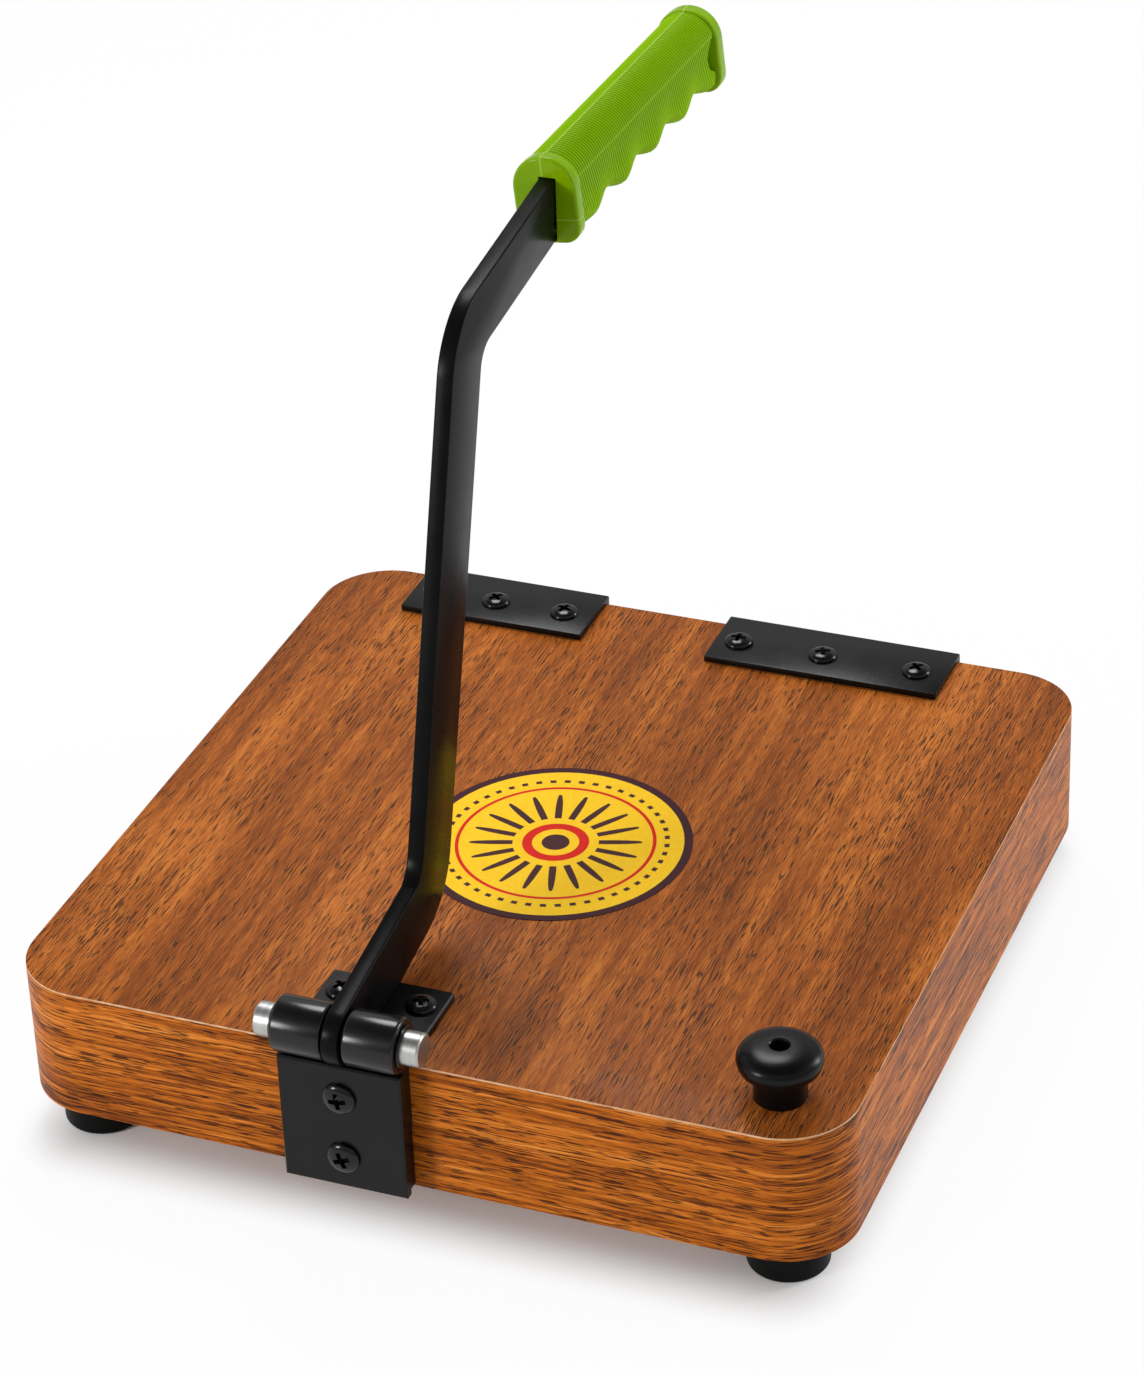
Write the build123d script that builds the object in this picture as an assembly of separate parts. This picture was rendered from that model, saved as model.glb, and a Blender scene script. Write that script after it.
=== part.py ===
from build123d import *
from math import atan2, cos, radians, sin
import os

# Roti press: two wooden boards hinged at the back, and a cranked steel lever on a front bracket.
# Millimetres, +Z up, front towards -Y. The pieces are laid out with the lid's top at z = 0, its front
# face at y = 0 and its middle line at x = 0, and are then moved so that the origin is on the table,
# under the middle of the whole press.

# Boards
board_width = 254.0
board_depth = 254.0
board_corner_radius = 22.0
lid_thickness = 21.3
base_thickness = 21.3
pressing_gap = 0.1
laminate_thickness = 0.8
band_thickness = 1.0

# Feet
foot_diameter = 24.0
foot_height = 12.7
foot_inset_x = 20.0
foot_inset_y = 18.0
foot_edge_radius = 1.5
foot_recess_diameter = 11.0
foot_recess_depth = 6.0

# Wood screws with domed cross heads, used all over the press
screw_head_radius = 4.6
screw_head_rim = 0.6
screw_head_height = 2.3
screw_shank_radius = 1.75
screw_point_length = 3.0
screw_bite = 12.0
cross_length = 5.2
cross_width = 1.2
cross_depth = 1.5
thread_clearance = 0.05

# Front bracket
bracket_x = -16.6
bracket_width = 37.8
top_plate_thickness = 2.5
top_plate_back = 33.0
top_plate_screw_spacing = 24.7
top_plate_screw_y = 23.5
front_plate_thickness = 3.0
front_plate_top = 0.3
front_plate_height = 42.0
front_screw_spacing = 20.7
spacer_thickness = 5.0
spacer_inset = 0.6
spacer_crown = 1.2
top_plate_corner_radius = 1.0
plate_edge_bevel = 0.5
front_screw_bite = 14.0
apron_clearance = 0.6

# Lever pivot
pivot_y = -4.0
pivot_z = 9.1
pin_radius = 5.0
pin_proud = 6.3
pin_chamfer = 0.6
barrel_radius = 8.25
barrel_edge_radius = 0.9
running_clearance = 0.05
seat_clearance = 0.05
washer_radius = 6.6
washer_thickness = 0.5
clip_radius = 6.2
clip_thickness = 0.9
clip_groove_depth = 0.7

# Lever bar, cut from plate and cranked twice in its own plane
bar_thickness = 5.0
bar_width = 21.5
bar_upper_width = 19.0
bar_edge_radius = 0.5
eye_radius = 8.7
eye_clearance = 0.3
heel_clearance = 0.1
lower_length = 64.2
lower_angle = 10.5
middle_length = 161.9
middle_angle = 73.5
upper_length = 67.1
upper_angle = 7.0
lower_bend_inner_radius = 13.0
lower_bend_outer_radius = 25.0
upper_bend_inner_radius = 9.0
upper_bend_outer_radius = 26.0
shoulder_depth = 6.0
tang_end_gap = 15.0
tang_width = 12.0

# Grip: soft moulded sleeve with four finger grooves and a collar at each end
grip_angle = -1.7
grip_lean = 6.0
grip_side_shift = 0.5
grip_length = 126.6
grip_half_width = 9.45
grip_crown_centre = 6.0
grip_belly = 10.5
grip_belly_radius = 5.0
bump_count = 5
first_bump = 18.8
last_bump_inset = 7.0
groove_depth = 3.2
end_rise = 1.4
near_collar_thickness = 5.0
near_collar_flare = 0.4
far_collar_thickness = 5.5
far_collar_flare = 0.7
collar_edge_radius = 1.0
grip_clearance = 0.2

# Knob
knob_inset_x = 22.3
knob_y = 19.4
knob_stem_radius = 7.65
knob_cap_radius = 12.2
knob_cap_bottom = 9.8
knob_height = 17.3
knob_cap_lower_radius = 1.2
knob_cap_upper_radius = 4.4
knob_hole_radius = 2.75
knob_hole_floor = 6.0
knob_screw_head_height = 2.2
knob_screw_radius = 1.5
knob_screw_clearance = 0.15

# Round label
label_radius = 41.3
label_y = 117.0
label_thickness = 0.2

# Back hinges: two butt hinges of different lengths, let in from the board's ends
left_hinge_inset = 28.5
left_hinge_length = 63.0
right_hinge_inset = 42.7
right_hinge_length = 77.4
hinge_leaf_depth = 24.5
hinge_leaf_thickness = 2.2
hinge_knuckle_radius = 4.0
hinge_pin_radius = 2.0
hinge_knuckle_clearance = 0.3
hinge_joint_share = 0.3
hinge_first_screw = 8.0
hinge_last_screw = 9.8
hinge_middle_screw_shift = -1.4
hinge_screw_y_inset = 13.5
hinge_base_leaf_height = 18.5
hinge_base_screw_drop = 13.0

# Levels and places that follow from the sizes
seam_z = -lid_thickness - pressing_gap / 2
base_top = -lid_thickness - pressing_gap
base_bottom = base_top - base_thickness
table_z = base_bottom - foot_height
board_middle_y = board_depth / 2
front_plate_bottom = front_plate_top - front_plate_height
front_plate_y = -spacer_thickness - front_plate_thickness
front_screw_middle = (front_plate_top + front_plate_bottom) / 2
barrel_length = (bracket_width - bar_thickness) / 2 - washer_thickness - 2 * running_clearance
hinge_y = board_depth + hinge_knuckle_radius + hinge_knuckle_clearance
heel_z = top_plate_thickness + heel_clearance
knob_x = board_width / 2 - knob_inset_x
bump_pitch = (grip_length - first_bump - last_bump_inset) / (bump_count - 1)
tang_length = grip_length - tang_end_gap
hinges = (
    ("left", -board_width / 2 + left_hinge_inset, left_hinge_length),
    ("right", board_width / 2 - right_hinge_inset - right_hinge_length, right_hinge_length),
)
reach = 2 * board_width


def x_cylinder(radius, length, y=0.0, z=0.0, x=0.0):
    """Round bar along X, centred on x."""
    return Pos(x, y, z) * Rot(0, 90, 0) * Cylinder(radius, length)


def block(x_low, x_high, y_low, y_high, z_low, z_high):
    """Plain block between two corners."""
    corner = Pos((x_low + x_high) / 2, (y_low + y_high) / 2, (z_low + z_high) / 2)
    return corner * Box(x_high - x_low, y_high - y_low, z_high - z_low)


def slab(z_low, thickness, inset=0.0):
    """Board-shaped slab with round corners, drawn in from the board's outline by inset."""
    outline = RectangleRounded(
        board_width - 2 * inset, board_depth - 2 * inset, board_corner_radius - inset
    )
    return Pos(0, board_middle_y, z_low) * extrude(outline, amount=thickness)


def screw(seat, length, shank_radius=screw_shank_radius, head_radius=screw_head_radius,
          head_height=screw_head_height):
    """Domed cross-head screw: its head stands on the seat and its shank runs down from it."""
    dome_height = head_height - screw_head_rim
    dome_radius = (head_radius**2 + dome_height**2) / (2 * dome_height)
    half_sweep = atan2(head_radius, dome_radius - dome_height) / 2
    middle = (
        dome_radius * sin(half_sweep),
        head_height - dome_radius + dome_radius * cos(half_sweep),
    )
    shank = Polyline(
        (0, head_height),
        (0, -length),
        (shank_radius, screw_point_length - length),
        (shank_radius, 0),
        (head_radius, 0),
        (head_radius, screw_head_rim),
    )
    dome = ThreePointArc((head_radius, screw_head_rim), middle, (0, head_height))
    solid = revolve(Plane.XZ * make_face(shank + dome), Axis.Z)
    share = head_radius / screw_head_radius
    for turn in (0, 90):
        slot = Rot(0, 0, turn) * Box(cross_length * share, cross_width * share, 2 * cross_depth * share)
        solid -= Pos(0, 0, head_height) * slot
    return seat * solid


def bore(seat, length, radius=screw_shank_radius):
    """Hole that a screw's shank fills."""
    depth = length + thread_clearance
    return seat * Pos(0, 0, -depth / 2) * Cylinder(radius + thread_clearance, depth)


# Which way a screw's head faces
facing_front = Rot(90, 0, 0)
facing_back = Rot(-90, 0, 0)
facing_down = Rot(180, 0, 0)


# Places of the fasteners
foot_places = {
    f"{row}_{side}": (sx * (board_width / 2 - foot_inset_x), y)
    for row, y in (("front", foot_inset_y), ("rear", board_depth - foot_inset_y))
    for side, sx in (("left", -1), ("right", 1))
}
foot_seat_z = table_z + foot_recess_depth
foot_screw_length = foot_height - foot_recess_depth + screw_bite
foot_screw_seats = [Pos(x, y, foot_seat_z) * facing_down for x, y in foot_places.values()]


def hinge_screw_places(start, length):
    """X places of the three screws in a hinge leaf."""
    first = start + hinge_first_screw
    last = start + length - hinge_last_screw
    return first, (first + last) / 2 + hinge_middle_screw_shift, last


hinge_screw_length = hinge_leaf_thickness + screw_bite
hinge_lid_seats = [
    Pos(x, board_depth - hinge_screw_y_inset, hinge_leaf_thickness)
    for name, start, length in hinges
    for x in hinge_screw_places(start, length)
]
hinge_base_seats = [
    Pos(x, board_depth + hinge_leaf_thickness, seam_z - hinge_base_screw_drop) * facing_back
    for name, start, length in hinges
    for x in hinge_screw_places(start, length)
]
top_plate_screw_length = top_plate_thickness + screw_bite
top_plate_seats = [
    Pos(bracket_x + side * top_plate_screw_spacing / 2, top_plate_screw_y, top_plate_thickness)
    for side in (-1, 1)
]
upper_screw_seat = Pos(bracket_x, front_plate_y, front_screw_middle + front_screw_spacing / 2) * facing_front
lower_screw_seat = Pos(bracket_x, front_plate_y, front_screw_middle - front_screw_spacing / 2) * facing_front
upper_screw_length = front_plate_thickness + spacer_thickness + front_screw_bite
lower_screw_length = front_plate_thickness + spacer_thickness - apron_clearance - thread_clearance
knob_screw_seat = Pos(knob_x, knob_y, knob_hole_floor)
knob_screw_length = knob_hole_floor + screw_bite

lid_bores = [bore(seat, hinge_screw_length) for seat in hinge_lid_seats]
lid_bores += [bore(seat, top_plate_screw_length) for seat in top_plate_seats]
lid_bores += [bore(upper_screw_seat, upper_screw_length)]
lid_bores += [bore(knob_screw_seat, knob_screw_length, knob_screw_radius)]
base_bores = [bore(seat, foot_screw_length) for seat in foot_screw_seats]
base_bores += [bore(seat, hinge_screw_length) for seat in hinge_base_seats]


def board(name, top, thickness, bores, upper_name, lower_name, pressing_side):
    """One board: a core with a laminate on each face and a band round its edge.

    The outer laminate lies over the band's edge, and the pressing side's lies inside the band.
    """
    low = top - thickness
    core_low = low + laminate_thickness
    core_high = top - laminate_thickness
    upper_inset = band_thickness if pressing_side == "upper" else 0.0
    lower_inset = band_thickness if pressing_side == "lower" else 0.0
    band_low = low if pressing_side == "lower" else core_low
    band_high = top if pressing_side == "upper" else core_high
    band = slab(band_low, band_high - band_low) - slab(band_low, band_high - band_low, band_thickness)
    return {
        f"{name}_core": slab(core_low, core_high - core_low, band_thickness) - bores,
        f"{name}_{upper_name}": slab(core_high, laminate_thickness, upper_inset) - bores,
        f"{name}_{lower_name}": slab(low, laminate_thickness, lower_inset) - bores,
        f"{name}_edge_band": band - bores,
    }


def foot():
    """Rubber foot with its screw recessed from below."""
    radius = foot_diameter / 2
    body = Pos(0, 0, table_z + foot_height / 2) * Cylinder(radius, foot_height)
    body = fillet(body.edges().filter_by(GeomType.CIRCLE).sort_by(Axis.Z)[0], foot_edge_radius)
    recess_depth = 2 * foot_recess_depth
    return body - Pos(0, 0, table_z) * Cylinder(foot_recess_diameter / 2, recess_depth)


def hinge_leaf(start, length, on_lid):
    """Hinge leaf with its knuckles: the lid's leaf folds over the back edge, the base's is flat."""
    end = start + length
    joint = length * hinge_joint_share
    gap = hinge_knuckle_clearance / 2
    back = board_depth + hinge_leaf_thickness
    reach_down = hinge_knuckle_radius + hinge_knuckle_clearance
    if on_lid:
        spans = ((start, start + joint - gap), (end - joint + gap, end))
        plate = block(start, end, board_depth, back, seam_z + reach_down, hinge_leaf_thickness)
        plate += block(start, end, board_depth - hinge_leaf_depth, back, 0, hinge_leaf_thickness)
        side = 1
    else:
        spans = ((start + joint + gap, end - joint - gap),)
        low = seam_z - reach_down - hinge_base_leaf_height
        plate = block(start, end, board_depth, back, low, seam_z - reach_down)
        side = -1
    for low_x, high_x in spans:
        middle = (low_x + high_x) / 2
        far = seam_z + side * reach_down
        plate += block(low_x, high_x, board_depth, back, min(seam_z, far), max(seam_z, far))
        knuckle_place = {"y": hinge_y, "z": seam_z, "x": middle}
        plate += x_cylinder(hinge_knuckle_radius, high_x - low_x, **knuckle_place)
    pin_bore = x_cylinder(
        hinge_pin_radius + running_clearance, length + reach, hinge_y, seam_z, start + length / 2
    )
    return plate - pin_bore


def hinge_pin(start, length):
    """Plain pin through a hinge's knuckles."""
    return x_cylinder(hinge_pin_radius, length, hinge_y, seam_z, start + length / 2)


def barrel(side):
    """Tube that holds one end of the lever's pin."""
    offset = bracket_width / 2 - barrel_length / 2
    tube = x_cylinder(barrel_radius, barrel_length, pivot_y, pivot_z, bracket_x + side * offset)
    tube = fillet(tube.edges().filter_by(GeomType.CIRCLE), barrel_edge_radius)
    return tube - x_cylinder(pin_radius + running_clearance, reach, pivot_y, pivot_z, bracket_x)


def bracket_cut(radius, width):
    """Round clearance about the pivot, used to cope the plates to what turns or sits there."""
    return x_cylinder(radius, width, pivot_y, pivot_z, bracket_x)


notch_width = bar_thickness + 2 * washer_thickness + 4 * running_clearance


def bracket_top_plate():
    """Plate on the lid behind the barrels, notched for the lever's eye."""
    half = bracket_width / 2
    plate = block(bracket_x - half, bracket_x + half, 0, top_plate_back, 0, top_plate_thickness)
    plate = fillet(plate.edges().filter_by(Axis.Z).sort_by(Axis.Y)[-2:], top_plate_corner_radius)
    plate = chamfer(plate.faces().sort_by(Axis.Z)[-1].edges().sort_by(Axis.Y)[1:], plate_edge_bevel)
    plate -= bracket_cut(barrel_radius + seat_clearance, reach)
    plate -= bracket_cut(eye_radius + eye_clearance, notch_width)
    return plate - [bore(seat, top_plate_screw_length) for seat in top_plate_seats]


def front_plate():
    """Plate down the front of the press."""
    half = bracket_width / 2
    plate = block(
        bracket_x - half, bracket_x + half, front_plate_y, -spacer_thickness,
        front_plate_bottom, front_plate_top,
    )
    front_edges = plate.faces().sort_by(Axis.Y)[0].edges()
    plate = chamfer(front_edges, plate_edge_bevel)
    plate -= bore(upper_screw_seat, upper_screw_length)
    return plate - bore(lower_screw_seat, lower_screw_length)


def spacer_block():
    """Packing between the front plate and the lid, coped to the barrels and clear of the base."""
    half = bracket_width / 2 - spacer_inset
    low = front_plate_bottom + spacer_inset
    crown = front_plate_top + spacer_crown
    packing = block(bracket_x - half, bracket_x + half, -spacer_thickness, 0, low, crown)
    packing -= bracket_cut(barrel_radius + seat_clearance, reach)
    packing -= bracket_cut(eye_radius + eye_clearance, notch_width)
    packing -= block(-reach, reach, -apron_clearance, reach, -reach, seam_z + pressing_gap / 2)
    packing -= bore(upper_screw_seat, upper_screw_length)
    return packing - bore(lower_screw_seat, lower_screw_length)


pin_length = bracket_width + 2 * pin_proud
clip_x = bracket_width / 2 + running_clearance + clip_thickness / 2


def pivot_pin():
    """Bright pin through both barrels and the lever, grooved for its clips."""
    pin = x_cylinder(pin_radius, pin_length, pivot_y, pivot_z, bracket_x)
    pin = chamfer(pin.edges().filter_by(GeomType.CIRCLE), pin_chamfer)
    for side in (-1, 1):
        place = bracket_x + side * clip_x
        ring = x_cylinder(clip_radius, clip_thickness, pivot_y, pivot_z, place)
        ring -= x_cylinder(pin_radius - clip_groove_depth, reach, pivot_y, pivot_z, place)
        pin -= ring
    return pin


def pin_clips():
    """Black spring clips that keep the pin in the barrels."""
    clips = []
    for side in (-1, 1):
        place = bracket_x + side * clip_x
        width = clip_thickness - 2 * running_clearance
        inner = pin_radius - clip_groove_depth + running_clearance
        ring = x_cylinder(clip_radius, width, pivot_y, pivot_z, place)
        clips.append(ring - x_cylinder(inner, reach, pivot_y, pivot_z, place))
    return clips


def lever_washers():
    """Thin washers each side of the lever."""
    washers = []
    for side in (-1, 1):
        offset = bar_thickness / 2 + running_clearance + washer_thickness / 2
        place = bracket_x + side * offset
        disc = x_cylinder(washer_radius, washer_thickness, pivot_y, pivot_z, place)
        washers.append(disc - x_cylinder(pin_radius + running_clearance, reach, pivot_y, pivot_z, place))
    return washers


# Lever's centreline, in (y, z): from beside the pivot, along each straight stretch
def step(point, length, slope):
    """Point a length further on at a slope in degrees."""
    return (point[0] + length * cos(radians(slope)), point[1] + length * sin(radians(slope)))


bar_start = step((pivot_y, pivot_z), eye_radius - bar_width / 2, lower_angle + 90)
lower_bend = step(bar_start, lower_length, lower_angle)
upper_bend = step(lower_bend, middle_length, middle_angle)
grip_start = step(upper_bend, upper_length, upper_angle)
grip_place = Pos(0, grip_start[0], grip_start[1]) * Rot(grip_angle, 0, 0)


def side_line(point, slope, offset):
    """Line beside the centreline: a point on it and its slope."""
    return step(point, offset, slope + 90), slope


def crossing(first, second):
    """Where two lines meet."""
    (p, a), (q, b) = first, second
    ax, ay, bx, by = cos(radians(a)), sin(radians(a)), cos(radians(b)), sin(radians(b))
    along = ((q[0] - p[0]) * by - (q[1] - p[1]) * bx) / (ax * by - ay * bx)
    return (p[0] + along * ax, p[1] + along * ay)


def bar_edge(side, extra):
    """Four points of one edge of the bar: its start, its two corners and its end in the grip."""
    half = side * (bar_width / 2 + extra)
    upper_half = side * (bar_upper_width / 2 + extra)
    lower = side_line(bar_start, lower_angle, half)
    middle = side_line(lower_bend, middle_angle, half)
    upper = side_line(upper_bend, upper_angle, upper_half)
    end = step(upper_bend, upper_length + shoulder_depth + extra, upper_angle)
    return [
        lower[0],
        crossing(lower, middle),
        crossing(middle, upper),
        side_line(end, upper_angle, upper_half)[0],
    ]


def bar_blank(extra=0.0):
    """Cranked bar without its eye or tang, centred on x = 0: extra makes it larger all round."""
    front = FilletPolyline(
        *bar_edge(1, extra), radius=(lower_bend_inner_radius, upper_bend_outer_radius)
    )
    back = FilletPolyline(
        *bar_edge(-1, extra), radius=(lower_bend_outer_radius, upper_bend_inner_radius)
    )
    outline = front + back + Line(front @ 0, back @ 0) + Line(front @ 1, back @ 1)
    return extrude(Plane.YZ * make_face(outline), amount=bar_thickness / 2 + extra, both=True)


def bar_tang(extra=0.0):
    """Narrow end of the bar that the grip is pushed onto."""
    length = tang_length + extra
    tang = Box(bar_thickness + 2 * extra, length, tang_width + 2 * extra)
    return grip_place * Pos(0, length / 2, 0) * tang


def lever_bar():
    """Lever: the bar with its heel cut flat for the top plate, an eye on the pin and its tang."""
    bar = bar_blank()
    bar -= block(-reach, reach, -reach, reach, -reach, heel_z)
    bar += x_cylinder(eye_radius, bar_thickness, pivot_y, pivot_z)
    sides = bar.faces().filter_by(Axis.X).sort_by(Axis.X)
    bar = fillet(sides[0].edges() + sides[-1].edges(), bar_edge_radius)
    bar += bar_tang()
    bar -= x_cylinder(pin_radius + running_clearance, reach, pivot_y, pivot_z)
    return Pos(bracket_x, 0, 0) * bar


def grip_section(flare=0.0):
    """Grip's cross-section: half round on top, soft corners below."""
    half = grip_half_width + flare
    belly = grip_belly + flare
    lower = Pos(0, (grip_crown_centre - belly) / 2) * Rectangle(2 * half, grip_crown_centre + belly)
    lower = fillet(lower.vertices().sort_by(Axis.Y)[:2], grip_belly_radius)
    return Plane.XZ * (lower + Pos(0, grip_crown_centre) * Circle(half))


def grip_collar(start, thickness, flare):
    """Rounded collar at one end of the grip."""
    collar = extrude(grip_section(flare), amount=-thickness)
    rims = collar.faces().filter_by(Axis.Y).edges()
    return Pos(0, start, 0) * fillet(rims, collar_edge_radius)


def lever_grip():
    """Soft sleeve over the tang, with finger grooves below."""
    belly = [(0.0, -grip_belly + end_rise)]
    for number in range(bump_count):
        place = first_bump + number * bump_pitch
        belly.append((place, -grip_belly))
        if number < bump_count - 1:
            belly.append((place + bump_pitch / 2, -grip_belly + groove_depth))
    belly.append((grip_length, -grip_belly))
    crown = grip_crown_centre + 2 * grip_half_width
    wave = Spline(*belly)
    sides = Polyline(belly[-1], (grip_length, crown), (0.0, crown), belly[0])
    profile = extrude(Plane.YZ * make_face(wave + sides), amount=2 * grip_half_width, both=True)
    sleeve = profile & extrude(grip_section(), amount=-grip_length)
    sleeve += grip_collar(0, near_collar_thickness, near_collar_flare)
    sleeve += grip_collar(
        grip_length - far_collar_thickness, far_collar_thickness, far_collar_flare
    )
    sleeve = grip_place * Pos(-grip_side_shift, 0, 0) * Rot(0, -grip_lean, 0) * sleeve
    sleeve = sleeve - bar_blank(grip_clearance) - bar_tang(grip_clearance)
    return Pos(bracket_x, 0, 0) * sleeve


def knob():
    """Turned knob: a stem, a soft-edged cap and a hole for its screw."""
    stem = Pos(0, 0, knob_cap_bottom / 2) * Cylinder(knob_stem_radius, knob_cap_bottom)
    cap_height = knob_height - knob_cap_bottom
    cap = Pos(0, 0, knob_cap_bottom + cap_height / 2) * Cylinder(knob_cap_radius, cap_height)
    rims = cap.edges().filter_by(GeomType.CIRCLE).sort_by(Axis.Z)
    cap = fillet(rims[-1], knob_cap_upper_radius)
    rims = cap.edges().filter_by(GeomType.CIRCLE).sort_by(Axis.Z)
    cap = fillet(rims[0], knob_cap_lower_radius)
    hole_height = knob_height - knob_hole_floor
    hole = Pos(0, 0, knob_hole_floor + hole_height) * Cylinder(knob_hole_radius, 2 * hole_height)
    body = Pos(knob_x, knob_y, 0) * (stem + cap - hole)
    return body - bore(knob_screw_seat, knob_screw_length, knob_screw_radius)


def round_label():
    """Thin round label on the lid."""
    return Pos(0, label_y, label_thickness / 2) * Cylinder(label_radius, label_thickness)


pieces = {}
pieces.update(board(
    "base", base_top, base_thickness, base_bores, "pressing_laminate", "bottom_laminate", "upper"
))
for place_name, (foot_x, foot_y) in foot_places.items():
    pieces[f"foot_{place_name}"] = Pos(foot_x, foot_y, 0) * foot() - base_bores
pieces["foot_screws"] = [screw(seat, foot_screw_length) for seat in foot_screw_seats]
for side_name, hinge_start, hinge_length in hinges:
    base_leaf = hinge_leaf(hinge_start, hinge_length, on_lid=False)
    lid_leaf = hinge_leaf(hinge_start, hinge_length, on_lid=True)
    pieces[f"{side_name}_hinge_base_leaf"] = base_leaf - base_bores
    pieces[f"{side_name}_hinge_lid_leaf"] = lid_leaf - lid_bores
    pieces[f"{side_name}_hinge_pin"] = hinge_pin(hinge_start, hinge_length)
pieces["hinge_base_screws"] = [screw(seat, hinge_screw_length) for seat in hinge_base_seats]
pieces["hinge_lid_screws"] = [screw(seat, hinge_screw_length) for seat in hinge_lid_seats]
pieces.update(board(
    "lid", 0.0, lid_thickness, lid_bores, "top_laminate", "pressing_laminate", "lower"
))
pieces["round_label"] = round_label()
pieces["knob"] = knob()
pieces["knob_screw"] = screw(
    knob_screw_seat, knob_screw_length, knob_screw_radius,
    knob_hole_radius - knob_screw_clearance, knob_screw_head_height,
)
pieces["bracket_top_plate"] = bracket_top_plate()
pieces["left_barrel"] = barrel(-1)
pieces["right_barrel"] = barrel(1)
pieces["front_plate"] = front_plate()
pieces["spacer_block"] = spacer_block()
pieces["top_plate_screws"] = [screw(seat, top_plate_screw_length) for seat in top_plate_seats]
pieces["front_upper_screw"] = screw(upper_screw_seat, upper_screw_length)
pieces["front_lower_screw"] = screw(lower_screw_seat, lower_screw_length)
pieces["pivot_pin"] = pivot_pin()
pieces["pin_clips"] = pin_clips()
pieces["lever_washers"] = lever_washers()
pieces["lever_bar"] = lever_bar()
pieces["lever_grip"] = lever_grip()

# The origin goes on the table under the middle of the whole press
groups = {
    name: Compound(children=shape) if isinstance(shape, list) else shape
    for name, shape in pieces.items()
}
boxes = [shape.bounding_box() for shape in groups.values()]
origin_x = (min(box.min.X for box in boxes) + max(box.max.X for box in boxes)) / 2
origin_y = (min(box.min.Y for box in boxes) + max(box.max.Y for box in boxes)) / 2
to_origin = Pos(-origin_x, -origin_y, -table_z)

os.makedirs("parts", exist_ok=True)
for name, shape in groups.items():
    export_step(to_origin * shape, f"parts/{name}.step")
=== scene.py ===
from math import atan2, cos, pi, radians, sin, tan

import bmesh
import bpy
from mathutils import Matrix, Vector


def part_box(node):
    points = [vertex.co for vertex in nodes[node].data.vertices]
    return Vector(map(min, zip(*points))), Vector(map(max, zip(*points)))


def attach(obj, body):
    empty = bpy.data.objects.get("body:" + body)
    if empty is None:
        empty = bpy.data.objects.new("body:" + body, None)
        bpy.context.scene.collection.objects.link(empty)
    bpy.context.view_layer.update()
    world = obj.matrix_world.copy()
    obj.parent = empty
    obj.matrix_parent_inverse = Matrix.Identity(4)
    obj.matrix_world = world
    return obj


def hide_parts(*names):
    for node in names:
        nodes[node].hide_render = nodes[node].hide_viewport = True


# Roti press: wood-grain boards, black powder-coated bracket and lever, ribbed soft green grip.
# Pieces are drawn in board millimetres, with the lid's top at z = 0, its front face at y = 0 and its
# middle at x = 0, and are then brought to the frame in metres.

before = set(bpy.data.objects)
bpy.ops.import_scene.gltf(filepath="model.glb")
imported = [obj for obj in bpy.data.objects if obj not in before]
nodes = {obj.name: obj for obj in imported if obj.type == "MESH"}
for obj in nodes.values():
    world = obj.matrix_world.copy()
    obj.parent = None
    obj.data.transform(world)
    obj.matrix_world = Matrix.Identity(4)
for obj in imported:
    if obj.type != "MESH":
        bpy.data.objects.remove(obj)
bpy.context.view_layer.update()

MM = 0.001
lid_low, lid_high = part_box("lid_top_laminate")
TO_FRAME = Matrix.Translation((0, lid_low[1], lid_high[2])) @ Matrix.Scale(MM, 4)
UP = Vector((0, 0, 1))

# Boards
BOARD = 254.0
CORNER_RADIUS = 22.0
CORNER_STEPS = 20
LAMINATE = 0.8
LID_BOTTOM = -21.3
BASE_TOP = -21.4
BASE_BOTTOM = -42.7
TABLE = -55.4
SEAM = (LID_BOTTOM + BASE_TOP) / 2
BAND = 1.0
EDGE_BEVEL = 0.25

# Feet
FOOT_RADIUS = 12.0
FOOT_INSET_X = 20.0
FOOT_INSET_Y = 18.0
FOOT_RECESS_RADIUS = 5.5
FOOT_RECESS_DEPTH = 6.0
FOOT_BORE = 1.8
FOOT_SCREW_LENGTH = 18.7

# Screws
HEAD_RADIUS = 4.6
HEAD_RIM = 0.6
HEAD_HEIGHT = 2.3
HEAD_CHAMFER = 0.15
SHANK_RADIUS = 1.75
SCREW_POINT = 3.0
CROSS_LENGTH = 5.8
CROSS_WIDTH = 1.5
CROSS_DEPTH = 2.0
# Shares of a cross's length and width that are left at its bottom
CROSS_TIP = (0.6, 0.75)

# Front bracket and pivot
BRACKET_X = -16.6
BRACKET_WIDTH = 37.8
PLATE_TOP = 2.5
FRONT_PLATE_Y = -8.0
FRONT_SCREW_MIDDLE = -20.7
FRONT_SCREW_SPACING = 20.7
TOP_SCREW_SPACING = 24.7
TOP_SCREW_Y = 23.5
UPPER_SCREW_LENGTH = 22.0
LOWER_SCREW_LENGTH = 7.35
TOP_SCREW_LENGTH = 14.5
FRONT_HEAD_RADIUS = 5.0
PIVOT = Vector((BRACKET_X, -4.0, 9.1))
PIN_RADIUS = 5.0
PIN_PROUD = 6.3
PIN_CHAMFER = 0.55
PIN_CLEARANCE = 0.05
BARREL_RADIUS = 8.25
BARREL_LENGTH = 15.8
BARREL_RIM = 1.1
CLIP_RADIUS = 6.2
CLIP_BORE = 4.4
CLIP_THICKNESS = 0.8
CLIP_OFFSET = 0.5
WASHER_RADIUS = 6.6
WASHER_THICKNESS = 0.5
WASHER_OFFSET = 0.3
# Rounding of the rims of pins, rings and knuckles
RIM = 0.3

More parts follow.
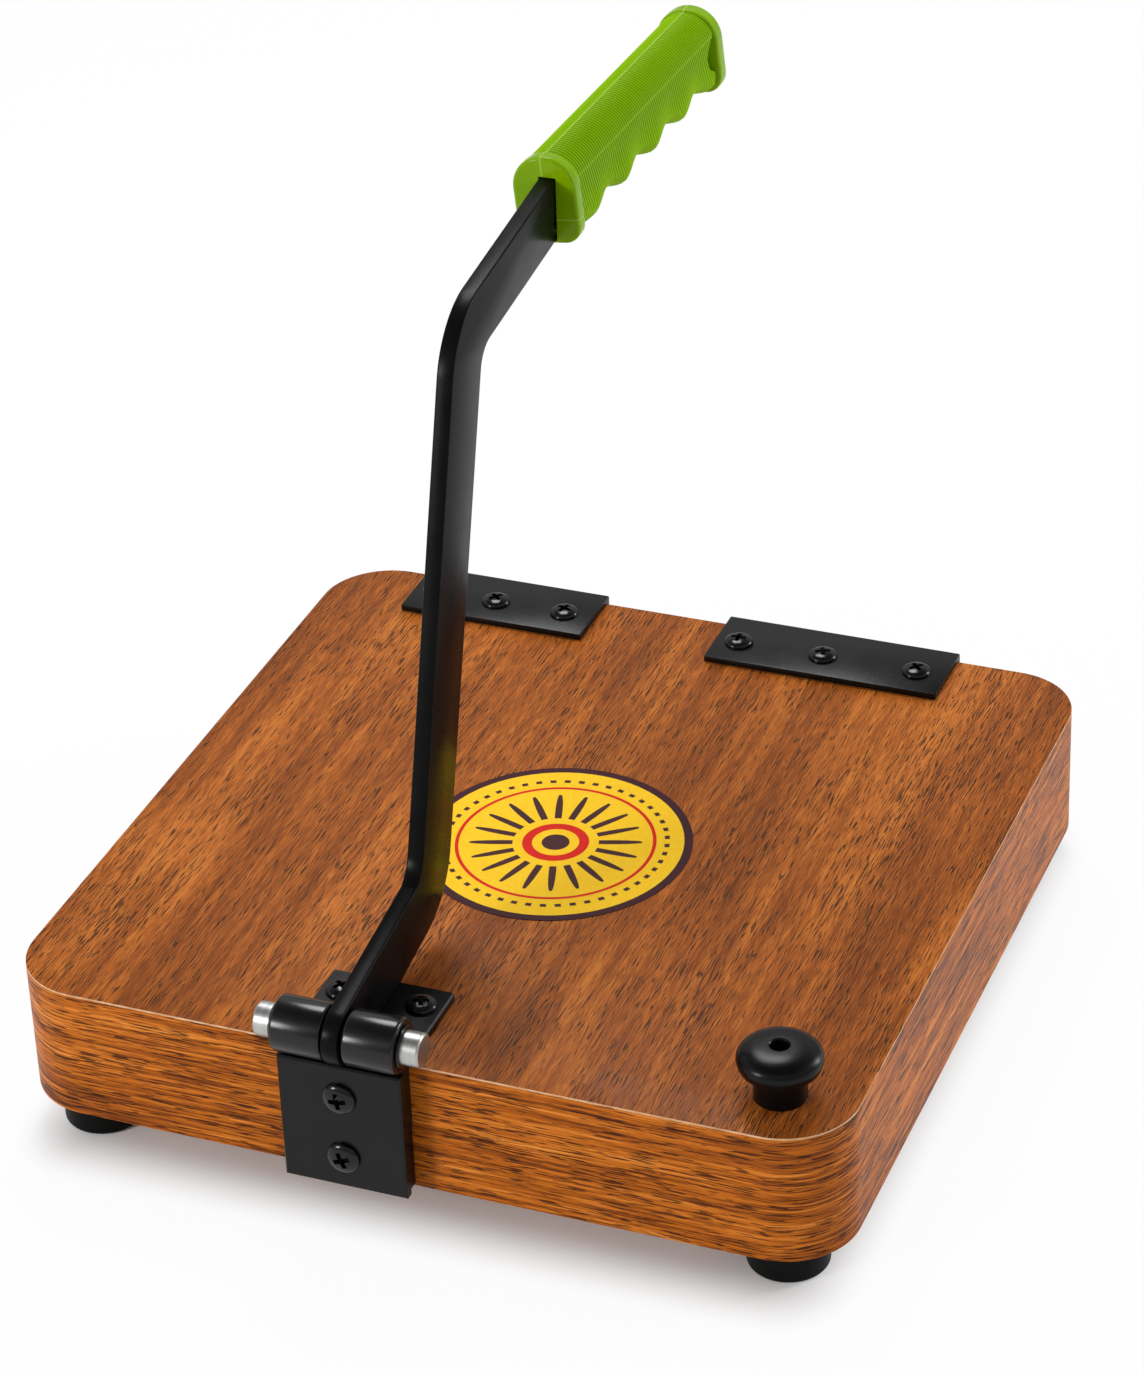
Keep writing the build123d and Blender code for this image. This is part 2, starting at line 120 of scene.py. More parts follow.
# Lever
BAR_THICKNESS = 5.0
BAR_WIDTH = 21.5
BAR_UPPER_WIDTH = 19.0
BAR_EDGE = 0.55
EYE_RADIUS = 8.7
HEEL_Z = 2.6
HEEL_REACH = 12.0
HEEL_BEND = 6.0
LOWER_LENGTH = 64.2
LOWER_SLOPE = 10.5
MIDDLE_LENGTH = 161.9
MIDDLE_SLOPE = 73.5
UPPER_LENGTH = 67.1
UPPER_SLOPE = 7.0
SHOULDER = 6.0
TANG_LENGTH = 111.6
TANG_WIDTH = 12.0
TANG_EDGE = 0.5
SLOT_CLEARANCE = 0.2
# Radius of each bend at the front of the bar and at its back
LOWER_BEND = (13.0, 25.0)
UPPER_BEND = (26.0, 9.0)

# Grip
GRIP_SLOPE = -1.7
GRIP_LEAN = -6.0
GRIP_SHIFT = -0.5
GRIP_LENGTH = 126.6
GRIP_HALF = 9.45
CROWN = 6.0
BELLY = -10.5
BELLY_RADIUS = 5.0
SIDE_TAPER = 0.5
FIRST_BUMP = 18.8
BUMP_PITCH = 25.2
BUMPS = 5
NEAR_HOLLOW = 1.4
GROOVE_DEPTH = 2.8
GROOVE_TAPER = 0.8
GROOVE_ROUNDING = 0.5
GROOVE_CURVE = 0.75
NEAR_COLLAR = 5.0
FAR_COLLAR = 5.5
COLLAR_EDGE = 1.0
SLEEVE_LAP = 0.4
CREASE = 8.1
CREASE_DEPTH = 0.35
CREASE_RUN = 1.2
RIB_PITCH = 1.4
RIB_DEPTH = 0.4
RIB_SLANT = 0.45
STEPS_PER_RIB = 6
# How far the near and the far collar stand out from the sleeve
COLLAR_FLARE = (0.4, 0.7)

# Recess in the grip's right side, beside its far collar
RECESS_DEPTH = 3.6
RECESS_REACH = 5.8
RECESS_RUN = 1.1
RECESS_MIDDLE = 2.2
RECESS_HALF_HEIGHT = 6.2
RECESS_SIDE = 4.0

# Parting lines of the grip, painted pale as highlight: half widths, and the height of the low one
TOP_SEAM = 0.2
TOP_RIDGE = 0.1
SIDE_SEAM = 0.16
LOW_SEAM = -3.4

# Knob and label
KNOB = Vector((104.7, 19.4, 0.0))
STEM_RADIUS = 7.65
STEM_HEIGHT = 9.8
CAP_RADIUS = 12.2
CAP_WIDEST = 12.7
CAP_TOP = 17.3
CAP_CURVE = 0.85
KNOB_LIP = 3.1
KNOB_HOLE = 2.75
KNOB_SEAT = 6.0
KNOB_BORE = 1.5
KNOB_SCREW_LENGTH = 18.0
KNOB_HEAD_HEIGHT = 2.2
LABEL_Y = 117.0
LABEL_RADIUS = 41.3
LABEL_RING = 2.6

# Label's print: rings as radius and half width, and the inks
SUN_CORE = 4.2
SUN_RING = (8.6, 1.5)
RAY_RING = (19.5, 6.5)
RAYS = 20
RED_LINE = (29.8, 0.55)
DOT_RING = (33.6, 0.75)
DOTS = 48
DARK_INK = "#4A2A2C"
RED_INK = "#D9261C"

# Back hinges: left end and length of each
HINGES = {"left": (-98.5, 63.0), "right": (6.9, 77.4)}
LEAF_DEPTH = 24.5
LEAF = 2.2
LEAF_EDGE = 0.35
LEAF_BEND = 1.2
LEAF_SCREW_INSET = 13.5
LEAF_SCREW_DROP = 13.0
LEAF_SCREW_LENGTH = 14.2
KNUCKLE_RADIUS = 4.0
KNUCKLE_GAP = 0.3
KNUCKLE_SHARE = 0.3
HINGE_PIN_RADIUS = 2.0
HINGE_Y = BOARD + KNUCKLE_RADIUS + KNUCKLE_GAP
BASE_LEAF_HEIGHT = 18.5
# Distances of the outer screws from a leaf's left and right end, and the middle one's shift
LEAF_SCREWS = (8.0, 9.8, -1.4)


# Helpers for materials

def linear(code):
    """Linear colour from an sRGB hex code."""
    channels = [int(code[place:place + 2], 16) / 255 for place in (1, 3, 5)]
    return [c / 12.92 if c <= 0.04045 else ((c + 0.055) / 1.055) ** 2.4 for c in channels] + [1.0]


def plug(socket, source):
    """Fills an input: a node or a socket is linked, a hex code or a number is set."""
    if isinstance(source, bpy.types.Node):
        source = next(output for output in source.outputs if output.enabled)
    if isinstance(source, bpy.types.NodeSocket):
        socket.id_data.links.new(source, socket)
    else:
        socket.default_value = linear(source) if isinstance(source, str) else source


def add(tree, kind, *sources, stops=(), **settings):
    """Adds a node. Sources fill its inputs in order, settings its properties or its inputs by name,
    and stops are a colour ramp's places with their hex codes or greys."""
    node = tree.nodes.new("ShaderNode" + kind)
    for name, value in settings.items():
        if hasattr(node, name):
            setattr(node, name, value)
        else:
            plug(node.inputs[name.replace("_", " ")], value)
    for socket, source in zip([entry for entry in node.inputs if entry.enabled], sources):
        plug(socket, source)
    if stops:
        elements = node.color_ramp.elements
        while len(elements) < len(stops):
            elements.new(0.5)
        for element, (place, shade) in zip(elements, stops):
            element.position = place
            element.color = linear(shade) if isinstance(shade, str) else (shade, shade, shade, 1)
    return node


def new_material(name):
    """New material and its node tree."""
    material = bpy.data.materials.new(name)
    material.use_nodes = True
    return material, material.node_tree


def surface(material, **inputs):
    """Fills inputs of a material's shader by name and gives the material back."""
    shader = material.node_tree.nodes["Principled BSDF"]
    for name, source in inputs.items():
        plug(shader.inputs[name.replace("_", " ")], source)
    return material


def object_point(tree, scale=(1, 1, 1), shift=(0, 0, 0)):
    """Object coordinates in metres, scaled and then shifted."""
    place = add(tree, "TexCoord").outputs["Object"]
    return add(tree, "Mapping", place, Location=shift, Scale=scale)


def pattern(tree, size, shift=(0, 0, 0)):
    """Place in a pattern that has a size in millimetres along X, Y and Z, shifted by whole sizes."""
    return object_point(tree, [1 / (MM * side) for side in size], shift)


def grip_axes(tree):
    """Millimetres across, along and up the grip, from its near end."""
    start, turn, size = (TO_FRAME @ GRIP_PLACE).decompose()
    place = add(tree, "TexCoord").outputs["Object"]
    point = add(tree, "Mapping", place, vector_type="TEXTURE", Location=start,
                Rotation=turn.to_euler(), Scale=size)
    return add(tree, "SeparateXYZ", point).outputs


# Materials

def wood_laminate():
    """Printed walnut laminate, satin: soft bands, fine fibres and thin dark pores, all along Y; pale
    flecks beside the pores are painted highlight on their edges.
    """
    material, tree = new_material("walnut_laminate")
    broad = add(tree, "TexNoise", pattern(tree, (20, 200, 50)),
                Scale=1, Detail=3, Roughness=0.55, Distortion=0.5)
    streak = add(tree, "TexNoise", pattern(tree, (3.3, 55, 17), (3, 1, 0)),
                 Scale=1, Detail=5, Roughness=0.68)
    # Real fibres are under 0.1 mm wide, too fine to show, so they are drawn 0.43 mm wide
    fibre = add(tree, "TexNoise", pattern(tree, (0.43, 6.7, 2.5), (0, 5, 0)),
                Scale=1, Detail=3, Roughness=0.6)
    tone = add(tree, "Math", broad, 0.4, operation="MULTIPLY")
    tone = add(tree, "Math", streak, 0.5, tone, operation="MULTIPLY_ADD")
    tone = add(tree, "Math", fibre, 0.42, tone, operation="MULTIPLY_ADD")
    colour = add(tree, "ValToRGB", tone, stops=(
        (0.50, "#743A11"), (0.58, "#8E4A18"), (0.64, "#A0551C"), (0.71, "#B66524"), (0.79, "#CC7830"),
    ))
    patch = add(tree, "TexNoise", pattern(tree, (14, 62, 33), (1, 9, 0)), Scale=1, Detail=2)

    def pores(size, shift, low, high):
        """Mask of short flecks, denser in patches."""
        fleck = add(tree, "TexNoise", pattern(tree, size, (7 + shift, 2, 0)),
                    Scale=1, Detail=1.5, Roughness=0.6)
        fleck = add(tree, "Math", patch, 0.22, fleck, operation="MULTIPLY_ADD")
        return add(tree, "ValToRGB", fleck, stops=((low, 0.0), (high, 1.0)))

    # Real pores are 0.1 to 0.3 mm wide, and are drawn about 0.5 mm wide so that they show
    dark = pores((0.53, 6.7, 3.3), 0.0, 0.695, 0.735)
    # Pale flecks, shifted a little from the dark pores, are painted highlight on the pores' edges.
    pale = pores((0.53, 6.7, 3.3), 0.42, 0.70, 0.74)
    long = pores((0.45, 10, 3.3), 5.0, 0.69, 0.74)
    for mask, weight, shade in (
        (pale, 0.32, "#DC8C42"), (long, 0.5, "#4A1F0A"), (dark, 0.8, "#2C1105"),
    ):
        share = add(tree, "Math", mask, weight, operation="MULTIPLY")
        colour = add(tree, "Mix", share, colour, shade, data_type="RGBA")
    return surface(
        material, Base_Color=colour, Specular_IOR_Level=0.09,
        Roughness=add(tree, "ValToRGB", streak, stops=((0.3, 0.36), (0.7, 0.46))),
        Normal=add(tree, "Bump", Height=dark, Distance=-0.05 * MM),
    )


def wood_band():
    """Printed walnut edge band: orange ground with dark streaks and dashes that run round the board."""
    material, tree = new_material("walnut_edge_band")
    broad = add(tree, "TexNoise", pattern(tree, (110, 110, 4.8)),
                Scale=1, Detail=3, Roughness=0.5, Distortion=0.8)
    streak = add(tree, "TexNoise", pattern(tree, (45, 45, 1.1), (2, 4, 1)),
                 Scale=1, Detail=5, Roughness=0.68, Distortion=0.5)
    # Its fibres too are drawn wider than real ones, so that they show
    fibre = add(tree, "TexNoise", pattern(tree, (17, 17, 0.31), (0, 5, 3)),
                Scale=1, Detail=3, Roughness=0.6)
    tone = add(tree, "Math", broad, 0.5, operation="MULTIPLY")
    tone = add(tree, "Math", streak, 0.75, tone, operation="MULTIPLY_ADD")
    tone = add(tree, "Math", fibre, 0.3, tone, operation="MULTIPLY_ADD")
    ground = add(tree, "ValToRGB", tone, stops=(
        (0.60, "#5E2C0B"), (0.69, "#8E470F"), (0.77, "#B45F14"), (0.85, "#CC7220"), (0.95, "#E6923E"),
    ))
    patch = add(tree, "TexNoise", pattern(tree, (33, 33, 3.3), (1, 9, 0)), Scale=1, Detail=2)
    dash = add(tree, "TexNoise", pattern(tree, (9.5, 9.5, 0.5), (5, 3, 9)),
               Scale=1, Detail=2, Distortion=0.3)
    dash = add(tree, "Math", patch, 0.25, dash, operation="MULTIPLY_ADD")
    dashes = add(tree, "ValToRGB", dash, stops=((0.675, 0.0), (0.71, 1.0)))
    share = add(tree, "Math", dashes, 0.85, operation="MULTIPLY")
    return surface(
        material, Specular_IOR_Level=0.09,
        Base_Color=add(tree, "Mix", share, ground, "#2E1204", data_type="RGBA"),
        Roughness=add(tree, "ValToRGB", streak, stops=((0.3, 0.34), (0.7, 0.44))),
        Normal=add(tree, "Bump", Height=dashes, Distance=-0.05 * MM),
    )


def laminate_edge():
    """Cut edge of the laminate: pale resin and paper, a little rough."""
    material, tree = new_material("laminate_cut_edge")
    grain = add(tree, "TexNoise", pattern(tree, (3.3, 3.3, 1.1)), Scale=1, Detail=3)
    return surface(
        material, Roughness=0.6,
        Base_Color=add(tree, "ValToRGB", grain, stops=((0.3, "#C98F5E"), (0.7, "#EBC096"))),
    )


def fibre_board():
    """Pressed fibre board of the cores: fine brown specks, dull."""
    material, tree = new_material("fibre_board")
    speck = add(tree, "TexNoise", pattern(tree, (0.67, 0.67, 0.67)), Scale=1, Detail=4, Roughness=0.7)
    return surface(
        material, Roughness=0.85,
        Base_Color=add(tree, "ValToRGB", speck, stops=((0.3, "#7A5636"), (0.7, "#B48A5E"))),
    )


def pressing_laminate():
    """Melamine sheet of the two pressing faces: light wood print under a smooth, glossy skin."""
    material, tree = new_material("melamine_laminate")
    bands = add(tree, "TexNoise", pattern(tree, (9, 170, 33), (4, 4, 4)),
                Scale=1, Detail=5, Roughness=0.62)
    haze = add(tree, "TexNoise", pattern(tree, (25, 25, 25)), Scale=1, Detail=2)
    return surface(
        material,
        Base_Color=add(tree, "ValToRGB", bands, stops=(
            (0.35, "#A8743F"), (0.5, "#C18E56"), (0.66, "#D2A56E"),
        )),
        Roughness=add(tree, "ValToRGB", haze, stops=((0.3, 0.22), (0.7, 0.32))),
    )


def powder_coat(name, gloss, haze_range=(0.25, 0.31)):
    """Satin black powder coat baked on steel: fine orange peel that softens its highlights."""
    material, tree = new_material(name)
    peel = add(tree, "TexNoise", pattern(tree, (0.38, 0.38, 0.38)), Scale=1, Detail=2)
    haze = add(tree, "TexNoise", pattern(tree, (11, 11, 11), (3, 3, 3)), Scale=1, Detail=3)
    smooth, rough = haze_range
    return surface(
        material, Specular_IOR_Level=gloss,
        Base_Color=add(tree, "ValToRGB", haze, stops=((0.3, "#0A0A0A"), (0.7, "#0F0F0F"))),
        Roughness=add(tree, "ValToRGB", haze, stops=((0.3, smooth), (0.7, rough))),
        Normal=add(tree, "Bump", Height=peel, Distance=0.01 * MM),
    )


def black_oxide():
    """Oiled black finish on screws, clips and washers: dark and glossy, so their heads glint."""
    material, tree = new_material("black_oxide")
    wear = add(tree, "TexNoise", pattern(tree, (1.4, 1.4, 1.4)), Scale=1, Detail=3)
    return surface(
        material, Specular_IOR_Level=0.3,
        Base_Color=add(tree, "ValToRGB", wear, stops=((0.35, "#070707"), (0.7, "#101010"))),
        Roughness=add(tree, "ValToRGB", wear, stops=((0.3, 0.13), (0.7, 0.22))),
    )


def turned_steel():
    """Bright steel turned on a lathe: faint rings round the pin's axis, which lies along X."""
    material, tree = new_material("turned_steel")
    # Real tool marks are about 0.1 mm apart, too fine to show, so they are drawn 0.3 to 0.4 mm apart
    lines = add(tree, "TexNoise", pattern(tree, (0.28, 17, 17)), Scale=1, Detail=2)
    axis = TO_FRAME @ PIVOT
    from_axis = object_point(tree, (0, 1, 1), (0, -axis.y, -axis.z))
    radius = add(tree, "VectorMath", from_axis, operation="LENGTH")
    phase = add(tree, "Math", radius, 2 * pi / (0.4 * MM), operation="MULTIPLY")
    rings = add(tree, "Math", phase, operation="SINE")
    marks = add(tree, "Math", rings, 0.2, lines, operation="MULTIPLY_ADD")
    return surface(
        material, Metallic=1.0,
        Base_Color=add(tree, "ValToRGB", lines, stops=((0.3, "#A9A9A8"), (0.7, "#C4C4C2"))),
        Roughness=add(tree, "ValToRGB", lines, stops=((0.3, 0.34), (0.7, 0.42))),
        Normal=add(tree, "Bump", Height=marks, Distance=0.0015 * MM),
    )


def foot_rubber():
    """Moulded rubber: near black, dull, with a faint grain."""
    material, tree = new_material("moulded_rubber")
    grain = add(tree, "TexNoise", pattern(tree, (0.55, 0.55, 0.55)), Scale=1, Detail=3)
    return surface(
        material, Specular_IOR_Level=0.08,
        Base_Color=add(tree, "ValToRGB", grain, stops=((0.3, "#080807"), (0.7, "#0D0D0C"))),
        Roughness=add(tree, "ValToRGB", grain, stops=((0.3, 0.42), (0.7, 0.52))),
        Normal=add(tree, "Bump", Height=grain, Distance=0.01 * MM),
    )


def knob_phenolic():
    """Moulded black phenolic of the knob: smooth satin skin with a soft sheen."""
    material, tree = new_material("moulded_phenolic")
    haze = add(tree, "TexNoise", pattern(tree, (6.2, 6.2, 6.2)), Scale=1, Detail=2)
    return surface(
        material, Specular_IOR_Level=0.16,
        Base_Color=add(tree, "ValToRGB", haze, stops=((0.3, "#060606"), (0.7, "#0A0A0A"))),
        Roughness=add(tree, "ValToRGB", haze, stops=((0.3, 0.26), (0.7, 0.3))),
    )


def soft_vinyl(name, ribbed, low, high):
    """Dip-moulded soft vinyl of the grip: lime green; its parting lines and rib crests are painted pale
    as highlight, and its rib furrows painted dark as shade.
    """
    material, tree = new_material(name)
    across, along, height = grip_axes(tree)
    cloud = add(tree, "TexNoise", pattern(tree, (8.3, 8.3, 8.3)), Scale=1, Detail=3)
    greens = ("#649200", "#6E9C00") if ribbed else ("#78A100", "#82AB00")
    colour = add(tree, "ValToRGB", cloud, stops=tuple(zip((0.3, 0.7), greens)))
    on_top = add(tree, "Math", height, CROWN + 3.0, operation="GREATER_THAN")
    at_end = add(tree, "Math", along, GRIP_LENGTH - COLLAR_EDGE, operation="GREATER_THAN")
    shown = add(tree, "Math", on_top, at_end, operation="MAXIMUM")
    middle = add(tree, "Math", across, 0.0, TOP_SEAM, operation="COMPARE")
    top_seam_highlight = add(tree, "Math", middle, shown, operation="MULTIPLY")
    if ribbed:
        below = add(tree, "Math", CREASE, height, operation="SUBTRACT")
        below = add(tree, "Math", below, 0.0, operation="MAXIMUM")
        place = add(tree, "Math", below, -RIB_SLANT, along, operation="MULTIPLY_ADD")
        phase = add(tree, "Math", place, 2 * pi / RIB_PITCH, operation="MULTIPLY")
        wave = add(tree, "Math", phase, operation="COSINE")
        wave = add(tree, "Math", wave, 0.5, 0.5, operation="MULTIPLY_ADD")
        # Painted highlight on the rib crests and painted shade in the furrows between them.
        crest = add(tree, "ValToRGB", wave, stops=((0.1, 0.0), (0.9, 0.75)))
        furrow_painted_shade = add(tree, "Mix", 0.45, colour, "#3F6400", data_type="RGBA")
        colour = add(tree, "Mix", crest, furrow_painted_shade, "#98C808", data_type="RGBA")
        crease = add(tree, "Math", height, CREASE, SIDE_SEAM, operation="COMPARE")
        side_seam_highlight = add(tree, "Math", crease, 0.5, operation="MULTIPLY")
    else:
        right = add(tree, "Math", across, 0.0, operation="GREATER_THAN")
        near = add(tree, "Math", along, 2 * NEAR_COLLAR, operation="LESS_THAN")
        near_right = add(tree, "Math", right, near, operation="MULTIPLY")
        level = add(tree, "Math", height, LOW_SEAM, SIDE_SEAM, operation="COMPARE")
        side_seam_highlight = add(tree, "Math", level, near_right, operation="MULTIPLY")
    # The pale parting lines are painted highlight along the grip's seams.
    seam_highlights = add(tree, "Math", top_seam_highlight, side_seam_highlight, operation="MAXIMUM")
    share = add(tree, "Math", seam_highlights, 0.6, operation="MULTIPLY")
    return surface(
        material, Specular_IOR_Level=0.03 if ribbed else 0.12,
        Base_Color=add(tree, "Mix", share, colour, "#AFD25C", data_type="RGBA"),
        Roughness=add(tree, "ValToRGB", cloud, stops=((0.3, low), (0.7, high))),
        Subsurface_Weight=0.05, Subsurface_Radius=(0.4, 1.0, 0.1), Subsurface_Scale=MM,
    )


def printed_label():
    """Printed vinyl disc: yellow field, dark border, and a plain sun of rays inside a red ring."""
    material, tree = new_material("printed_vinyl")
    centre = TO_FRAME @ Vector((0, LABEL_Y, 0)) / MM
    point = object_point(tree, (1 / MM, 1 / MM, 0), (-centre.x, -centre.y, 0))
    radius = add(tree, "VectorMath", point, operation="LENGTH")
    axes = add(tree, "SeparateXYZ", point).outputs
    angle = add(tree, "Math", axes["Y"], axes["X"], operation="ARCTAN2")

    def ring(middle, half_width):
        return add(tree, "Math", radius, middle, half_width, operation="COMPARE")

    def wave(count):
        turns = add(tree, "Math", angle, count, operation="MULTIPLY")
        return add(tree, "Math", turns, operation="COSINE")

    paper = add(tree, "TexNoise", pattern(tree, (1.1, 1.1, 1.1)), Scale=1, Detail=2)
    colour = add(tree, "ValToRGB", paper, stops=((0.3, "#FEC61B"), (0.7, "#FFD12B")))
    narrowing = add(tree, "Math", radius, 0.075, -1.0, operation="MULTIPLY_ADD")
    rays = add(tree, "Math", wave(RAYS), narrowing, operation="GREATER_THAN")
    rays = add(tree, "Math", rays, ring(*RAY_RING), operation="MULTIPLY")
    core = add(tree, "Math", radius, SUN_CORE, operation="LESS_THAN")
    dots = add(tree, "Math", wave(DOTS), 0.25, operation="GREATER_THAN")
    dots = add(tree, "Math", dots, ring(*DOT_RING), operation="MULTIPLY")
    for mask, ink in (
        (rays, DARK_INK), (ring(*SUN_RING), RED_INK), (core, DARK_INK), (dots, DARK_INK),
        (ring(*RED_LINE), RED_INK), (ring(LABEL_RADIUS, LABEL_RING), "#43232A"),
    ):
        colour = add(tree, "Mix", mask, colour, ink, data_type="RGBA")
    return surface(
        material, Base_Color=colour, Specular_IOR_Level=0.06,
        Roughness=add(tree, "ValToRGB", paper, stops=((0.3, 0.3), (0.7, 0.38))),
    )


# Mesh helpers: all work in board millimetres

def rounded_path(corners, steps=8):
    """Closed path through corners (u, v) or (u, v, radius), with an arc at each that has a radius."""
    path = []
    for number, corner in enumerate(corners):
        here = Vector(corner[:2])
        if len(corner) < 3 or not corner[2]:
            path.append(here)
            continue
        radius = corner[2]
        before = (Vector(corners[number - 1][:2]) - here).normalized()
        after = (Vector(corners[(number + 1) % len(corners)][:2]) - here).normalized()
        half = before.angle(after) / 2
        centre = here + (before + after).normalized() * radius / sin(half)
        start = here + before * radius / tan(half) - centre
        end = here + after * radius / tan(half) - centre
        sweep = atan2(start.cross(end), start.dot(end))
        for step in range(steps + 1):
            path.append(centre + Matrix.Rotation(sweep * step / steps, 2) @ start)
    return path


def rectangle(low_u, high_u, low_v, high_v, radius=0.0, steps=8):
    """Outline of a rectangle, with an arc at each corner where it has a radius."""
    corners = ((low_u, low_v), (high_u, low_v), (high_u, high_v), (low_u, high_v))
    return rounded_path([(u, v, radius) for u, v in corners], steps)


# Where an outline's point (u, v) lies at a place w along each axis
PLANES = {"x": lambda u, v, w: (w, u, v), "z": lambda u, v, w: (u, v, w)}
# Faces that meet at more than this many radians have a sharp edge between them
SHARP = 0.5


def push(bm, faces, way):
    """Pushes flat faces along a vector into a solid."""
    pushed = bmesh.ops.extrude_face_region(bm, geom=faces)["geom"]
    verts = [item for item in pushed if isinstance(item, bmesh.types.BMVert)]
    bmesh.ops.translate(bm, verts=verts, vec=way)
    bmesh.ops.recalc_face_normals(bm, faces=bm.faces)


def prism(axis, outline, low, high, bevel=0.0, segments=2):
    """Outline pushed along an axis from low to high, its sharp edges rounded by bevel."""
    bm = bmesh.new()
    place = PLANES[axis]
    face = bm.faces.new([bm.verts.new(place(u, v, low)) for u, v in outline])
    push(bm, [face], Vector(place(0, 0, high - low)))
    if bevel:
        edges = [e for e in bm.edges if len(e.link_faces) == 2 and e.calc_face_angle(0) > SHARP]
        bmesh.ops.bevel(bm, geom=edges, offset=bevel, offset_type="OFFSET", segments=segments,
                        profile=0.5, affect="EDGES", material=-1, clamp_overlap=True)
    return bm


def turned(profile, steps):
    """Solid turned round Z from a profile of (radius, height) points; its ends may lie on the axis."""
    bm = bmesh.new()
    verts = [bm.verts.new((radius, 0, height)) for radius, height in profile]
    edges = [bm.edges.new(pair) for pair in zip(verts, verts[1:])]
    bmesh.ops.spin(bm, geom=verts + edges, cent=(0, 0, 0), axis=UP, dvec=(0, 0, 0), angle=2 * pi,
                   steps=steps, use_merge=True, use_duplicate=False)
    bmesh.ops.remove_doubles(bm, verts=bm.verts, dist=0.001)
    bmesh.ops.recalc_face_normals(bm, faces=bm.faces)
    return bm


ALONG_X = Matrix.Rotation(pi / 2, 4, "Y")
AT_PIVOT = Matrix.Translation((0, PIVOT.y, PIVOT.z)) @ ALONG_X
AT_HINGE = Matrix.Translation((0, HINGE_Y, SEAM)) @ ALONG_X


def move(bm, matrix):
    """Moves a mesh and gives it back."""
    bmesh.ops.transform(bm, matrix=matrix, verts=bm.verts)
    return bm


def join(*meshes):
    """Joins meshes into one bmesh."""
    whole = bmesh.new()
    for bm in meshes:
        part = bpy.data.meshes.new("part")
        bm.to_mesh(part)
        bm.free()
        whole.from_mesh(part)
        bpy.data.meshes.remove(part)
    return whole


def as_object(bm, name):
    """Object of a bmesh, in the scene."""
    mesh = bpy.data.meshes.new(name)
    bm.to_mesh(mesh)
    bm.free()
    piece = bpy.data.objects.new(name, mesh)
    bpy.context.scene.collection.objects.link(piece)
    return piece


def carve(bm, cutter):
    """The first mesh less the second."""
    body = as_object(bm, "carved")
    tool = as_object(cutter, "cutter")
    cut = body.modifiers.new("cut", "BOOLEAN")
    cut.operation = "DIFFERENCE"
    cut.solver = "EXACT"
    cut.object = tool
    shaped = body.evaluated_get(bpy.context.evaluated_depsgraph_get())
    result = bmesh.new()
    result.from_mesh(shaped.to_mesh())
    shaped.to_mesh_clear()
    bpy.data.objects.remove(body)
    bpy.data.objects.remove(tool)
    return result


def piece(name, bm, body, slot, *materials, replaces, smooth=35.0):
    """Finished piece in the frame: rides on a body and stands for a CAD node."""
    move(bm, TO_FRAME)
    made = as_object(bm, name)
    made.data.shade_smooth()
    made.data.set_sharp_from_angle(angle=radians(smooth))
    for material in materials:
        made.data.materials.append(material)
    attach(made, body)
    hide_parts(replaces)


def dress(name, material):
    """Gives a carried-over node its material."""
    mesh = nodes[name].data
    mesh.materials.clear()
    mesh.materials.append(material)


# Pieces

def board_skin(low, high):
    """Board-shaped skin: its cut edge has the second material."""
    outline = rectangle(-BOARD / 2, BOARD / 2, 0, BOARD, CORNER_RADIUS, CORNER_STEPS)
    bm = prism("z", outline, low, high, EDGE_BEVEL)
    for face in bm.faces:
        if abs(face.normal.z) < 0.9:
            face.material_index = 1
    return bm


def board_band(low, high):
    """Band round a board's edge, with its inner wall."""
    bm = bmesh.new()
    loops = []
    for inset in (0.0, BAND):
        half = BOARD / 2 - inset
        outline = rectangle(-half, half, inset, BOARD - inset, CORNER_RADIUS - inset, CORNER_STEPS)
        verts = [bm.verts.new((u, v, low)) for u, v in outline]
        loops += [bm.edges.new(pair) for pair in zip(verts, verts[1:] + verts[:1])]
    push(bm, bmesh.ops.bridge_loops(bm, edges=loops)["faces"], UP * (high - low))
    return bm


def dome(radius, rim, height, steps=8):
    """Outline of a round head from its rim to its top."""
    return [
        (radius * cos(pi / 2 * step / steps), rim + (height - rim) * sin(pi / 2 * step / steps))
        for step in range(steps + 1)
    ]


def cross_cutter(length, width, depth, height):
    """Tapered cross that cuts a screw's recess, standing a little above the head."""
    above = 0.4 * depth
    arms = []
    for turn in (0, pi / 2):
        arm = bmesh.new()
        bmesh.ops.create_cube(arm, size=1.0)
        bmesh.ops.scale(arm, vec=(length, width, depth + above), verts=arm.verts)
        for vert in arm.verts:
            if vert.co.z < 0:
                vert.co.x *= CROSS_TIP[0]
                vert.co.y *= CROSS_TIP[1]
        middle = height + (above - depth) / 2
        arms.append(move(arm, Matrix.Translation((0, 0, middle)) @ Matrix.Rotation(turn, 4, "Z")))
    return arms


def screw(length, head=HEAD_RADIUS, height=HEAD_HEIGHT, shank=SHANK_RADIUS):
    """Domed cross-head screw on its seat at z = 0."""
    profile = [
        (0.0, -length), (shank, SCREW_POINT - length), (shank, 0.0),
        (head - HEAD_CHAMFER, 0.0), (head, HEAD_CHAMFER), *dome(head, HEAD_RIM, height),
    ]
    solid = turned(profile, 48)
    cross = (side * head / HEAD_RADIUS for side in (CROSS_LENGTH, CROSS_WIDTH, CROSS_DEPTH))
    for arm in cross_cutter(*cross, height):
        solid = carve(solid, arm)
    return solid


